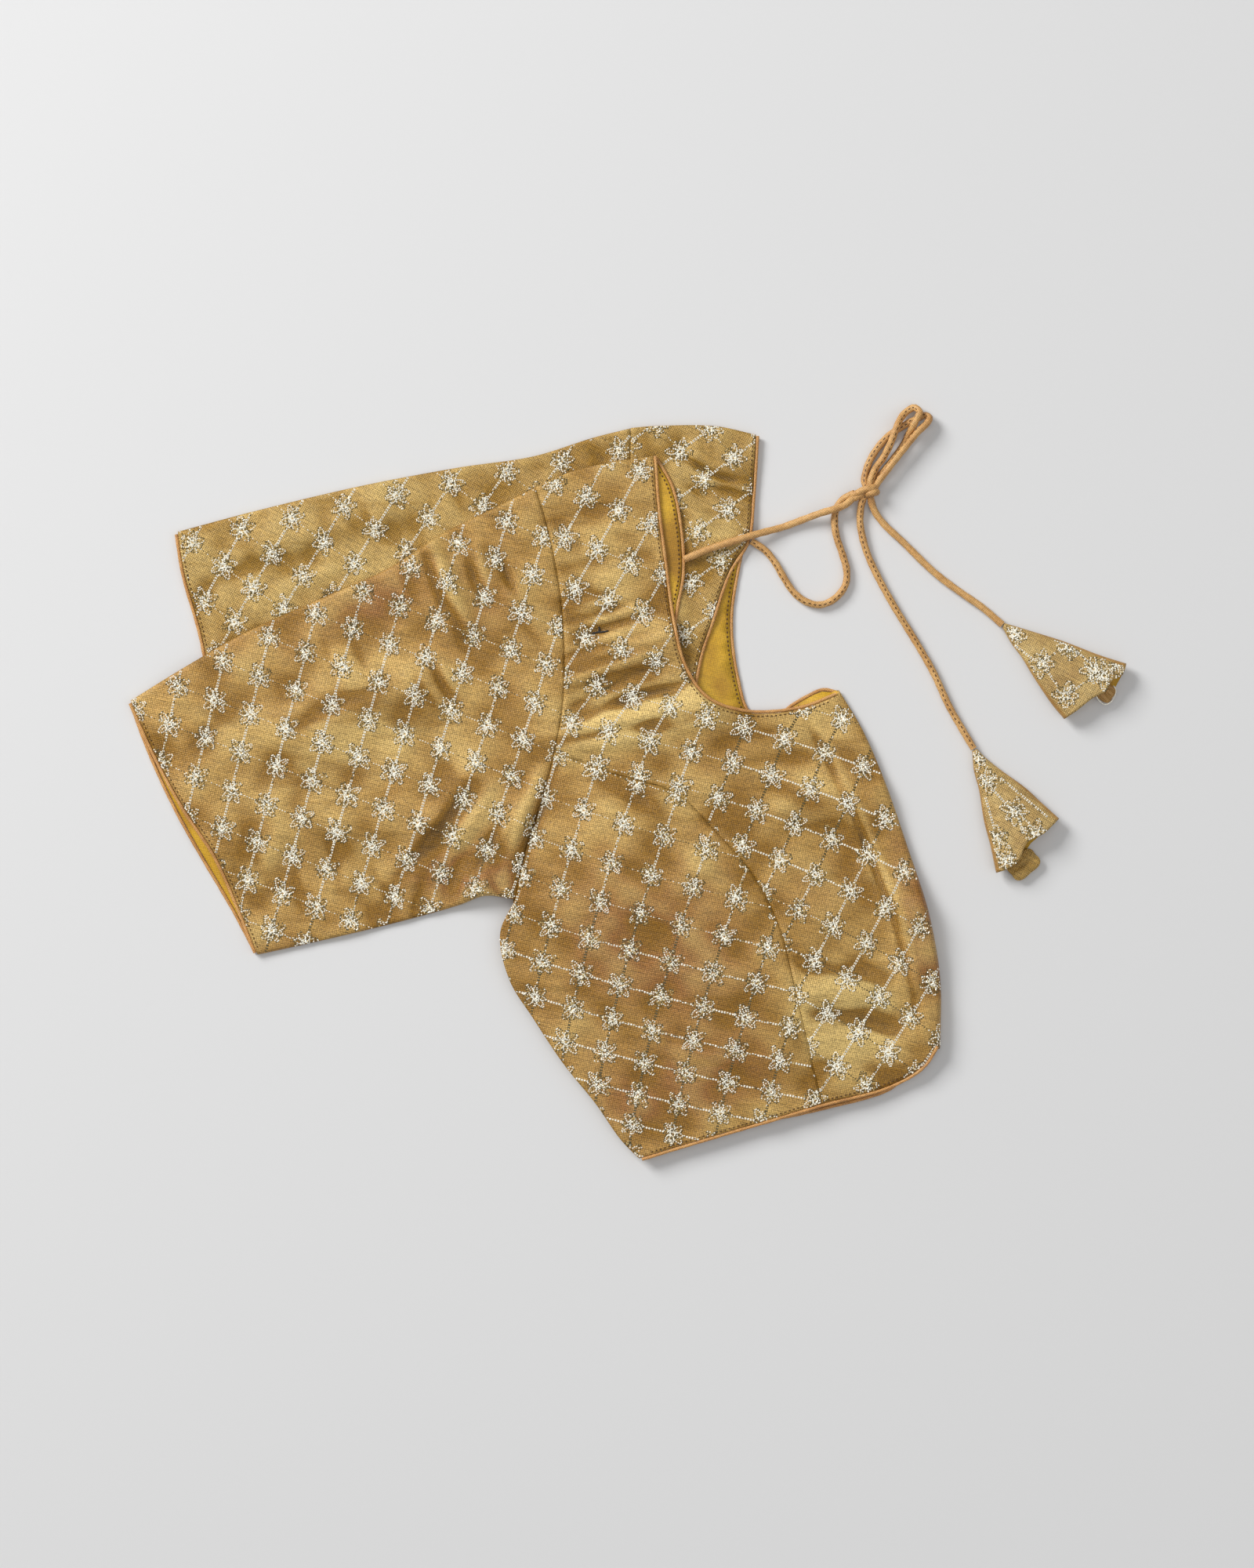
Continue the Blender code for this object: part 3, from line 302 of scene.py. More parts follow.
BOW_OVER_ROUTE = [
    (180.4, 163.6, 5.6), (180.7, 168.0, 5.9), (183.6, 174.6, 3.8), (187.6, 180.2, 3.6),
    (190.8, 186.4, 5.4), (193.2, 192.6, 6.4), (194.7, 196.6, 6.3), (196.8, 201.0, 4.3),
    (199.8, 204.6, 2.6), (204.2, 207.0, 3.0), (206.9, 204.2, 5.4), (204.8, 200.0, 6.2),
    (203.2, 196.6, 5.6), (200.8, 192.0, 3.0), (198.6, 187.4, 2.0), (194.6, 181.6, 2.0),
    (189.2, 174.6, 2.0), (183.6, 168.2, 2.1), (181.6, 163.8, 3.0),
]
WEAVE_PITCH = 0.001  # metres
# Painted light in the creases: how strongly troughs take painted shade and ridges painted highlight
CREASE_PAINTED_LIGHT = {"crease_shade": 1.5, "ridge_highlight": 0.9}  # how strongly troughs and ridges colour the silk
# Painted shadow: a trough deeper than this is painted nearly black
DEEP_CREASE_SHADOW = 1.5  # a trough past this value is nearly black
CORD_SEAMS = {  # where the stitched seam of each cord lies round it, in degrees up from its right side
    "dori_near": -40, "dori_far": 70, "tail_one": -50, "tail_two": 100, "bow_under": 100, "bow_over": 60,
}
CORD_SIDES = 16
CORD_STEP = 1.4

# Embroidery. Each cloth's lattice maps (i, j), steps down a chain line and across to the next, to the plan:
# the (x, y) factors of 1, i, j, i * i, i * j and j * j. The front's has one map for its strap and one below.
LATTICES = {
    "front_centre": [
        [(117.2, -27.0), (-12.9, -16.6), (21.6, -4.5), (-0.23, 0.03), (0.20, 0.49), (0.17, -0.04)],
        [(131.5, -35.5), (-8.6, -18.7), (19.6, -7.8), (-0.15, 0.15), (-0.44, -0.15), (-0.23, -0.28)],
    ],
    "front_side_near": [
        [(20.3, -30.3), (-6.1, -21.0), (20.8, -6.9), (0.29, 0.33), (-0.19, 0.17), (0.30, 0.10)],
    ],
    "sleeve_near": [
        [(-195.5, 37.1), (-4.7, -20.6), (19.4, -7.6), (-0.01, 0.03), (-0.19, 0.10), (-0.05, 0.01)],
    ],
    "sleeve_far": [
        [(-183.3, 134.7), (-10.2, -19.5), (16.1, -13.0), (0.21, 0.21), (0.0, 0.59), (0.08, 0.34)],
    ],
    "back": [[(91.1, 168.0), (-16.0, -12.0), (12.7, -15.5), (0, 0), (0, 0), (0, 0)]],
}
MAP_BLEND = (20.0, 45.0)  # the front's strap map takes over between these heights of y
LATTICE_REACH = 12  # steps each way from the map's own flower
LATTICE_MARGIN = 12
PITCH_LIMITS = (11.0, 32.0)
PETALS = (  # degrees from the chain line, length, width, share of bright stitches
    (41, 7.9, 3.0, 0.76), (-50, 7.7, 3.0, 0.68), (141, 7.5, 3.1, 0.78), (-130, 8.0, 3.0, 0.78),
    (6, 6.5, 2.3, 0.72), (186, 6.3, 2.3, 0.72), (88, 6.3, 2.6, 0.62), (-96, 6.3, 2.5, 0.58),
)
PETAL_START = 0.6
HEART_STITCHES = 18
STITCH = {"width": 1.0, "height": 0.5, "step": 1.15}
STITCH_LIMITS = (0.00001, 0.005)  # metres
SLIM = 3  # added to the tone of a stitch of the lines between flowers, whose thread is finer
SLIM_SHARE = 0.74
CHAIN = {"step": 1.5, "spread": 0.36, "slant": 0.3, "start": 4}
RUNNING = {"step": 1.5, "start": 5.6, "long": 1.1, "longer": 0.4, "apart": 0.25}
# Where the chain lines turn dark and the running lines bright, painted shade and glint on the metal thread,
# low and high on the near half, and where the running lines are darker, painted shade: each pair is where
# this starts and where it is full
GLINT_SWAP_LOW = {"y": (-50, -95), "x": (152, 128)}
GLINT_SWAP_HIGH = {"y": (48, 30), "y_end": (-62, -36), "x": (88, 108)}
SHADED_LINES = {"x": (138, 160), "y": (-45, -75)}

# The cone of each latkan: its side edges from the apex to the mouth, how far the mouth's edge reaches past
# their ends (share across, reach) and how far its upper cloth is cut back, its tab, and its embroidery
LATKANS = {
    "latkan_one": {
        "left": [
            (252.6, 91.4), (258, 89.8), (269.7, 86.2), (283, 82), (291, 79), (303.3, 74.2), (317.6, 69.6),
        ],
        "right": [(251.7, 88.6), (256.5, 80), (261.7, 72.9), (267.8, 62.7), (277.9, 47.5), (284.3, 39.8)],
        "mouth": [(0, 0), (0.15, 3.6), (0.33, 6.4), (0.46, 4.0), (0.58, 1.6), (0.83, 1.0), (1, 0)],
        "cut": (0.30, 0.10, 4.6),
        "tab": ((306.0, 54.6), (6.2, 5.4), -34, 3.8),
        "tab_cloth": "satin",
        "up": 40,
        "flowers": [
            (257.6, 85.4), (272.0, 69.5), (284.6, 52.6), (287.0, 78.2), (299.5, 66.6), (305.3, 62.7),
            (312.4, 70.4),
        ],
        "chains": [
            ((275, 71.6), (283, 78.2)), ((290.3, 76.3), (297.1, 70.4)), ((274, 66.7), (281.7, 56)),
            ((287.4, 54.2), (301, 63.2)), ((257.6, 79.6), (269.3, 70.4)), ((278.8, 82.3), (291.4, 78.3)),
            ((304, 72.4), (315, 69.8)),
        ],
    },
    "latkan_two": {
        "left": [(237.8, 23.8), (242, 19.6), (249.5, 13.4), (264.1, 2.7), (271.7, -4.4), (281.6, -13.4)],
        "right": [(235.3, 22.6), (236.2, 12), (238.8, 2), (241.5, -15.1), (244.8, -28), (247.8, -42.6)],
        "mouth": [(0, 0), (0.2, 0.6), (0.45, 0.6), (0.55, 2.0), (0.7, 3.6), (0.86, 2.4), (1, 0)],
        "cut": (0.50, 0.14, 3.0),
        "tab": ((262.8, -38.2), (9.4, 6.6), 40, 3.9),
        "tab_cloth": "silk_far",
        "up": 135,
        "flowers": [
            (243.1, 6.8), (257.6, -9.6), (247.2, -24.1), (268.6, -21.2), (253.4, -35.6), (237.4, 18.4),
        ],
        "chains": [
            ((245, 3), (255.7, -8.7)), ((242, -2), (247, -20)), ((262.5, -13), (267, -18)),
            ((250, 8.4), (276, -13.4)), ((248, -29), (250.4, -39)), ((259.5, -13), (262, -22)),
        ],
    },
}
LATKAN_HEIGHT = {"apex": 4.2, "mouth": 10.4}
LATKAN_DEEP = 16.0
LATKAN_BORDER = 0.045
LATKAN_RINGS = 40
LATKAN_SIDES = 48
LATKAN_LOOP = [
    (301.0, 52.4, 8.2), (303.2, 49.4, 6.4), (306.4, 47.6, 4.4), (309.6, 49.0, 4.0), (311.6, 52.4, 4.6),
    (312.0, 55.4, 6.0), (310.6, 57.6, 7.6),
]
TAB_RISE = 1.6

# The knot: two turns round the others, and the strand that leads up into them
KNOT_CENTRE = (181.0, 162.2, 4.6)
KNOT_TURN = 14.0
KNOT_WRAPS = ((-1.3, 2.6, 1.9), (1.5, 2.5, 1.8))  # place along the bundle, radius of the turn, of the strand
KNOT_SIDES = 14
KNOT_STEPS = 32
KNOT_LEAD = [
    (170.2, 159.4, 4.4), (173.4, 160.9, 6.0), (176.6, 162.4, 7.0), (179.8, 163.2, 7.4), (182.6, 162.4, 6.4),
]
KNOT_TAIL = [(171.6, 158.0, 4.9), (174.6, 159.6, 5.2), (177.6, 161.2, 4.8), (180.6, 161.8, 4.4)]

# A black tacking stitch, left in the strap, with its cut end
TACK = [
    [(31.3, 85.7), (34.2, 86.3), (37.2, 86.5), (39.9, 87.1)],
    [(34.6, 86.3), (35.2, 87.6), (34.9, 89.2)],
]
TACK_RADIUS = 0.42
LOOP_RADIUS = 0.25
RAY_START = 0.08  # metres above the table, from where the stitches are dropped on the cloth

# Which cloth each bound edge is on
TRIM_HOSTS = {
    "neck_piping_front_near": "front_centre", "neck_piping_front_far": "front_centre",
    "hem_piping_front_near": "front_centre", "hem_piping_front_far": "front_centre",
    "neck_piping_back_near": "back", "neck_piping_back_far": "back",
    "hem_piping_back_near": "back", "hem_piping_back_far": "back",
    "cuff_piping_near": "sleeve_near", "cuff_piping_near_under": "sleeve_near",
    "cuff_piping_far": "sleeve_far", "cuff_piping_far_under": "sleeve_far",
}
# The cut of each cloth: width and length in metres, area in square metres, how it is held and what it is on
CUTS = {
    "front_centre": ((0.434, 0.363), 0.0590, "folded", ["back"]),
    "front_side_near": ((0.173, 0.217), 0.0247, "laid", ["back"]),
    "front_side_far": ((0.167, 0.221), 0.0234, "laid", []),
    "back": ((0.452, 0.389), 0.0822, "folded", ["front_centre"]),
    "sleeve_near": ((0.388, 0.25), 0.0744, "folded", ["sleeve_far"]),
    "sleeve_far": ((0.404, 0.253), 0.0738, "folded", []),
}

FLOOR = {"half": 3, "z": -0.0004, "tones": (0.68, 0.74)}
CAMERA = {"lens": 85, "sensor": 36, "x": 0.050, "y": 0.005, "view": 0.84, "cloth": 0.006}
LIGHTS = {  # place, size and energy
    "key": ((-2.2, 1.9, 2.0), 1.5, 122.0),
    "fill": ((1.2, -0.6, 1.6), 1.4, 5.0),
    "top": ((0.1, 0.1, 2.4), 1.6, 9.0),
}
WORLD_LIGHT = 0.3

rng = random.Random(7)


def smooth_curve(points, count):
    """count + 1 even points on a centripetal Catmull-Rom curve through the given points."""
    p = np.asarray(points, float)
    p = np.vstack([2 * p[0] - p[1], p, 2 * p[-1] - p[-2]])
    dense = []
    for a, b, c, d in zip(p[:-3], p[1:-2], p[2:-1], p[3:]):
        t0 = 0.0
        t1 = t0 + np.linalg.norm(b - a) ** 0.5
        t2 = t1 + np.linalg.norm(c - b) ** 0.5
        t3 = t2 + np.linalg.norm(d - c) ** 0.5
        for t in np.linspace(t1, t2, 16, endpoint=False):
            ab = (t1 - t) / (t1 - t0) * a + (t - t0) / (t1 - t0) * b
            bc = (t2 - t) / (t2 - t1) * b + (t - t1) / (t2 - t1) * c
            cd = (t3 - t) / (t3 - t2) * c + (t - t2) / (t3 - t2) * d
            abc = (t2 - t) / (t2 - t0) * ab + (t - t0) / (t2 - t0) * bc
            bcd = (t3 - t) / (t3 - t1) * bc + (t - t1) / (t3 - t1) * cd
            dense.append((t2 - t) / (t2 - t1) * abc + (t - t1) / (t2 - t1) * bcd)
    dense = np.array(dense + [p[-2]])
    run = np.r_[0, np.cumsum(np.linalg.norm(np.diff(dense, axis=0), axis=1))]
    want = np.linspace(0, run[-1], count + 1)
    return np.column_stack([np.interp(want, run, dense[:, k]) for k in range(dense.shape[1])])


def length_of(points):
    return float(np.linalg.norm(np.diff(np.asarray(points, float), axis=0), axis=1).sum())


def edge_points(points, spacing=EDGE_SPACING):
    return smooth_curve(points, max(2, round(length_of(points) / spacing)))


def ways_along(points):
    """The unit direction of a route at each of its points."""
    run = np.gradient(points, axis=0)
    run /= np.linalg.norm(run, axis=1)[:, None]
    return run


def right_of(run):
    return np.column_stack([run[:, 1], -run[:, 0]])


def split_at(edge, point):
    """Cuts an edge in two at its own point nearest to the given one."""
    k = int(np.argmin(np.linalg.norm(edge - point, axis=1)))
    return edge[: k + 1], edge[k:]


def seam_between(points, start, end):
    """A seam through the given points that meets two other edges exactly."""
    return edge_points([tuple(start), *points[1:-1], tuple(end)])


def outline_of(*edges):
    """Joins (edge, inset) rows that follow each other clockwise, each moved inward by its own inset."""
    rows = []
    for edge, inset in edges:
        run = np.diff(edge, axis=0)
        run /= np.linalg.norm(run, axis=1)[:, None]
        rows.append((edge, inset, right_of(run)))
    points, ends = [], []
    for k, (edge, inset, inward) in enumerate(rows):
        before_inset, before_inward = rows[k - 1][1], rows[k - 1][2][-1]
        for i, p in enumerate(edge[:-1]):
            a, da = (before_inward, before_inset) if i == 0 else (inward[i - 1], inset)
            b, db = inward[i], inset
            square = np.array([a, b])
            if abs(np.linalg.det(square)) > 0.2:
                move = np.linalg.solve(square, [da, db])
            else:
                move = (a + b) / np.linalg.norm(a + b) * (da + db) / 2
            points.append(p + move)
        ends.append(len(points))
    return np.array(points), ends


def inside_distance(outline, xy):
    """How far each point lies inside the outline, less than 0 outside it."""
    xy = np.atleast_2d(np.asarray(xy, float))
    parts = []
    a = outline
    ab = np.roll(outline, -1, axis=0) - a
    rise = np.where(ab[:, 1] == 0, 1e-9, ab[:, 1])
    for p in np.array_split(xy, max(1, len(xy) // 3000)):
        t = ((p[:, None] - a) * ab).sum(2) / (ab * ab).sum(1)
        off = p[:, None] - a - np.clip(t, 0, 1)[..., None] * ab
        away = np.sqrt((off * off).sum(2).min(1))
        x, y = p[:, 0, None], p[:, 1, None]
        crosses = (a[:, 1] > y) != (a[:, 1] + ab[:, 1] > y)
        left = x < a[:, 0] + (y - a[:, 1]) * ab[:, 0] / rise
        parts.append(np.where((crosses & left).sum(1) % 2 == 1, away, -away))
    return np.concatenate(parts)


def nearest_on(path, xy):
    """Distance to a route, above 0 on its left, and how far along it the nearest point lies."""
    a, ab = path[:-1], np.diff(path, axis=0)
    long = np.hypot(ab[:, 0], ab[:, 1])
    start = np.r_[0, np.cumsum(long)]
    gaps, runs = [], []
    for p in np.array_split(xy, max(1, len(xy) // 4000)):
        t = np.clip(((p[:, None] - a) * ab).sum(2) / (ab * ab).sum(1), 0, 1)
        off = p[:, None] - a - t[..., None] * ab
        gap = np.hypot(off[..., 0], off[..., 1])
        k = gap.argmin(1)
        row = np.arange(len(p))
        side = ab[k, 0] * off[row, k, 1] - ab[k, 1] * off[row, k, 0]
        gaps.append(gap[row, k] * np.where(side < 0, -1, 1))
        runs.append(start[k] + t[row, k] * long[k])
    return np.concatenate(gaps), np.concatenate(runs)


def big_folds(half, xy):
    total = np.zeros(len(xy))
    for row in FOLDS:
        fold = dict(zip(FOLD_COLUMNS, row))
        if fold["half"] == half:
            path = np.array([(fold["x0"], fold["y0"]), (fold["x1"], fold["y1"])], float)
            away, _ = nearest_on(path, xy)
            total += fold["rise"] * np.exp(-((away / fold["width"]) ** 2))
    return total


def fine_creases(half, xy):
    total = np.zeros(len(xy))
    for owner, rise, width, lean, route in CREASES:
        if owner != half:
            continue
        path = smooth_curve(route, 5 * len(route))
        close = ((xy > path.min(0) - 4 * width) & (xy < path.max(0) + 4 * width)).all(1)
        if not close.any():
            continue
        away, run = nearest_on(path, xy[close])
        wide = width * (1 + lean * np.sign(away))
        fade = np.sin(np.pi * (0.1 + 0.8 * run / length_of(path)))
        total[close] += rise * fade * np.exp(-((away / wide) ** 2))
    waves = random.Random(11 if half == "near" else 12)
    for _ in range(RIPPLES["count"]):
        turn = waves.uniform(0, math.pi)
        long = waves.uniform(RIPPLES["shortest"], RIPPLES["longest"])
        phase = (xy[:, 0] * math.cos(turn) + xy[:, 1] * math.sin(turn)) * 2 * math.pi / long
        total += RIPPLES["rise"] * np.sin(phase + waves.uniform(0, 2 * math.pi))
    return total


def seam_relief(layer, xy):
    """The groove of each seam and the small puckers beside it."""
    total = np.zeros(len(xy))
    for seam, depth, width in SEAMS.get(layer, ()):
        path = edge_points(seam, 6.0)
        away, run = nearest_on(path, xy)
        total -= depth * np.exp(-((away / width) ** 2))
        beat = run / SEAM_PUCKER["spacing"] * 2 * math.pi
        wave = np.sin(beat + 1.7 * np.sin(beat * 0.37)) * (0.6 + 0.4 * np.sin(beat * 0.23 + 1))
        total += SEAM_PUCKER["rise"] * wave * np.exp(-np.abs(away) / SEAM_PUCKER["reach"])
    return total


class Stack:
    """Heights of the four layers of cloth, in millimetres."""

    def __init__(self):
        def region(forward, backward):
            runs = [edge_points(e, 10.0)[:-1] for e in forward]
            return np.vstack(runs + [edge_points(e, 10.0)[::-1][:-1] for e in backward])

        sleeve_far = region((SLEEVE_TOP_FAR, ARMHOLE_FAR), (SLEEVE_UNDER_FAR, CUFF_FAR))
        sleeve_near = region((SLEEVE_TOP_NEAR, ARMHOLE_NEAR), (SLEEVE_UNDER_NEAR, CUFF_NEAR_UNDER))
        front_far = region(
            (SHOULDER_FAR, NECK_FRONT_FAR, FRONT_FOLD, HEM_FRONT_FAR), (SIDE_FRONT_FAR, ARMHOLE_FAR)
        )
        back_far = region(
            (SHOULDER_FAR, NECK_BACK_FAR, BACK_FOLD, HEM_BACK_FAR), (SIDE_BACK_FAR, ARMHOLE_FAR)
        )
        back_near = region(
            (SHOULDER_NEAR, NECK_BACK_NEAR, BACK_FOLD, HEM_BACK_NEAR), (SIDE_BACK_NEAR, ARMHOLE_NEAR)
        )
        self.regions = [(front_far, sleeve_far), (back_far, sleeve_far), (back_near, sleeve_near)]

    def cover(self, layer, xy):
        inside = np.max([inside_distance(r, xy) for r in self.regions[layer]], axis=0)
        t = np.clip((inside + DRAPE_MARGIN + DRAPE_WIDTH) / DRAPE_WIDTH, 0, 1)
        return t * t * (3 - 2 * t)

    def low(self, layer, xy):
        """The underside of a layer of the solids, with the finer creases of the cloth that shows. The layers
        below a deep crease are pressed down with it."""
        xy = np.atleast_2d(np.asarray(xy, float))
        height = sum((PITCH * self.cover(k, xy) for k in range(layer)), np.zeros(len(xy)))
        if layer >= 1:
            height = height + big_folds("far", xy) * (self.cover(1, xy) if layer > 1 else 1)
            fine = np.maximum(fine_creases("near", xy), -DEEPEST)
            if layer == 3:
                height = height + big_folds("near", xy) + fine
            else:
                height = height - np.maximum(0, -fine - (3 - layer) * SLACK)
        if layer == 1:
            height = height + fine_creases("far", xy)
        return np.maximum(height, 0) + seam_relief(layer, xy)

    def top(self, layer, xy):
        return self.low(layer, xy) + WALL


def new_material(name):
    made = bpy.data.materials.new(name)
    made.use_nodes = True
    tree = made.node_tree
    return made, tree, tree.nodes["Principled BSDF"]


def node(tree, kind, **values):
    made = tree.nodes.new(kind)
    for key, value in values.items():
        if key in made.inputs:
            made.inputs[key].default_value = value
        else:
            setattr(made, key, value)
    return made


def sum_of(tree, operation, first, second):
    """A maths node whose inputs are sockets or numbers."""
    made = node(tree, "ShaderNodeMath", operation=operation)
    for k, value in enumerate((first, second)):
        if isinstance(value, (int, float)):
            made.inputs[k].default_value = value
        else:
            tree.links.new(value, made.inputs[k])
    return made.outputs["Value"]


def mix_of(tree, blend, factor, first, second):
    made = node(tree, "ShaderNodeMix", data_type="RGBA", blend_type=blend)
    for name, value in (("Factor", factor), ("A", first), ("B", second)):
        socket = next(i for i in made.inputs if i.name == name and i.enabled)
        if isinstance(value, bpy.types.NodeSocket):
            tree.links.new(value, socket)
        else:
            socket.default_value = value
    return next(o for o in made.outputs if o.enabled)


def clamped(tree, value, low, high):
    return sum_of(tree, "MINIMUM", sum_of(tree, "MAXIMUM", value, low), high)


def ranged(tree, value, *limits):
    """Maps a value from the first two limits to the last two."""
    made = node(tree, "ShaderNodeMapRange")
    for key, limit in zip(("From Min", "From Max", "To Min", "To Max"), limits):
        made.inputs[key].default_value = limit
    tree.links.new(value, made.inputs["Value"])
    return made.outputs["Result"]


def mapped(tree, vector, turn=0.0, scale=(1, 1, 1)):
    made = node(tree, "ShaderNodeMapping")
    made.inputs["Rotation"].default_value = (0, 0, math.radians(turn))
    made.inputs["Scale"].default_value = scale
    tree.links.new(vector, made.inputs["Vector"])
    return made.outputs["Vector"]


def noise(tree, vector, scale, detail, roughness=0.5):
    made = node(tree, "ShaderNodeTexNoise", Scale=scale, Detail=detail, Roughness=roughness)
    tree.links.new(vector, made.inputs["Vector"])
    return made.outputs["Fac"]


def cloth_material(name, tones, angle, roughness, metallic, sheen, bump, patch=(22.0, 0.8), shade_streaks=None):
    """Woven cloth: tones are its browner, middle and paler colours and the one in its creases. The pieces'
    own values say where it has sheen and creases, and noise adds soft patches, slubs and a fine weave. The
    sheen is painted: paler as painted highlight, browner as painted shade. The creases' tone is painted
    shade in troughs, nearly black in the deepest, and the paler tone on ridges is painted highlight. The
    last argument is the direction of the finest creases, in degrees, painted as faint shade lines."""
    made, tree, shader = new_material(name)
    link = tree.links.new
    place = node(tree, "ShaderNodeTexCoord").outputs["Object"]
    turned = mapped(tree, place, angle)
    broad = noise(tree, place, patch[0], 4.0, 0.6)
    # The pieces' painted sheen moves the ramp: paler as painted highlight, browner as painted shade
    painted_sheen = node(tree, "ShaderNodeAttribute", attribute_name="painted_sheen").outputs["Fac"]
    crease = node(tree, "ShaderNodeAttribute", attribute_name="crease").outputs["Fac"]
    level = sum_of(tree, "MULTIPLY", sum_of(tree, "SUBTRACT", broad, 0.5), patch[1])
    level = sum_of(tree, "ADD", sum_of(tree, "ADD", level, 0.5), sum_of(tree, "MULTIPLY", painted_sheen, 0.42))
    ramp_node = node(tree, "ShaderNodeValToRGB")
    ramp = ramp_node.color_ramp
    ramp.elements[0].position, ramp.elements[0].color = 0.2, (*tones[0], 1)
    ramp.elements[1].position, ramp.elements[1].color = 0.85, (*tones[2], 1)
    ramp.elements.new(0.5).color = (*tones[1], 1)
    link(level, ramp_node.inputs["Fac"])
    # Painted shade in the troughs and painted highlight on the ridges, from each piece's crease values
    crease_shade = clamped(tree, sum_of(tree, "MULTIPLY", crease, -1.0), 0.0, 0.9)
    ridge_highlight = clamped(tree, sum_of(tree, "MULTIPLY", crease, 0.6), 0.0, 0.7)
    colour = mix_of(tree, "MIX", crease_shade, ramp_node.outputs["Color"], (*tones[3], 1))
    # Painted shadow: the deepest troughs go nearly black
    deep = sum_of(tree, "MULTIPLY", sum_of(tree, "ADD", crease, DEEP_CREASE_SHADOW), -0.6)
    deep = clamped(tree, deep, 0.0, 0.75)
    colour = mix_of(tree, "MIX", deep, colour, (*(0.4 * c for c in tones[3]), 1))
    # Painted shade: faint crease lines along the grain, with no relief under them
    if shade_streaks:
        lines = noise(tree, mapped(tree, place, -shade_streaks, (22, 150, 22)), 1.0, 3.0, 0.55)
        streak_shade = ranged(tree, lines, 0.52, 0.72, 0.0, 0.6)
        colour = mix_of(tree, "MIX", streak_shade, colour, (*tones[3], 1))
    # Painted highlight on the ridges
    colour = mix_of(tree, "MIX", ridge_highlight, colour, (*tones[2], 1))
    slub = noise(tree, mapped(tree, turned, 0.0, (70, 1300, 70)), 1.0, 2.0, 0.6)
    threads = []
    for way in ("X", "Y"):
        wave = node(tree, "ShaderNodeTexWave", Scale=0.314 / WEAVE_PITCH, Distortion=1.2, Detail=1.0)
        wave.bands_direction = way
        link(turned, wave.inputs["Vector"])
        threads.append(wave.outputs["Fac"])
    grain = sum_of(tree, "ADD", sum_of(tree, "MULTIPLY", *threads), sum_of(tree, "MULTIPLY", slub, 1.1))
    coarse = noise(tree, turned, 950.0, 1.0)
    grain = sum_of(tree, "ADD", grain, sum_of(tree, "MULTIPLY", coarse, 1.5))
    speck = ranged(tree, grain, 1.05, 2.05, 1 - 0.68 * bump, 1 + 0.68 * bump)
    link(mix_of(tree, "MULTIPLY", 1.0, colour, speck), shader.inputs["Base Color"])
    raised = node(tree, "ShaderNodeBump", Strength=bump, Distance=0.0003)
    link(grain, raised.inputs["Height"])
    link(raised.outputs["Normal"], shader.inputs["Normal"])
    shader.inputs["Roughness"].default_value = roughness
    shader.inputs["Metallic"].default_value = metallic
    shader.inputs["Sheen Weight"].default_value = sheen
    shader.inputs["Sheen Roughness"].default_value = 0.4
    return made


def thread_material(name, colour, roughness, metallic, variation=0.25):
    """Thread, varied a little from stitch to stitch."""
    made, tree, shader = new_material(name)
    spots = noise(tree, node(tree, "ShaderNodeTexCoord").outputs["Object"], 900.0, 1.0)
    varied = ranged(tree, spots, 0.3, 0.7, 1 - variation, 1 + variation)
    tree.links.new(mix_of(tree, "MULTIPLY", 1.0, (*colour, 1), varied), shader.inputs["Base Color"])
    shader.inputs["Roughness"].default_value = roughness
    shader.inputs["Metallic"].default_value = metallic
    return made


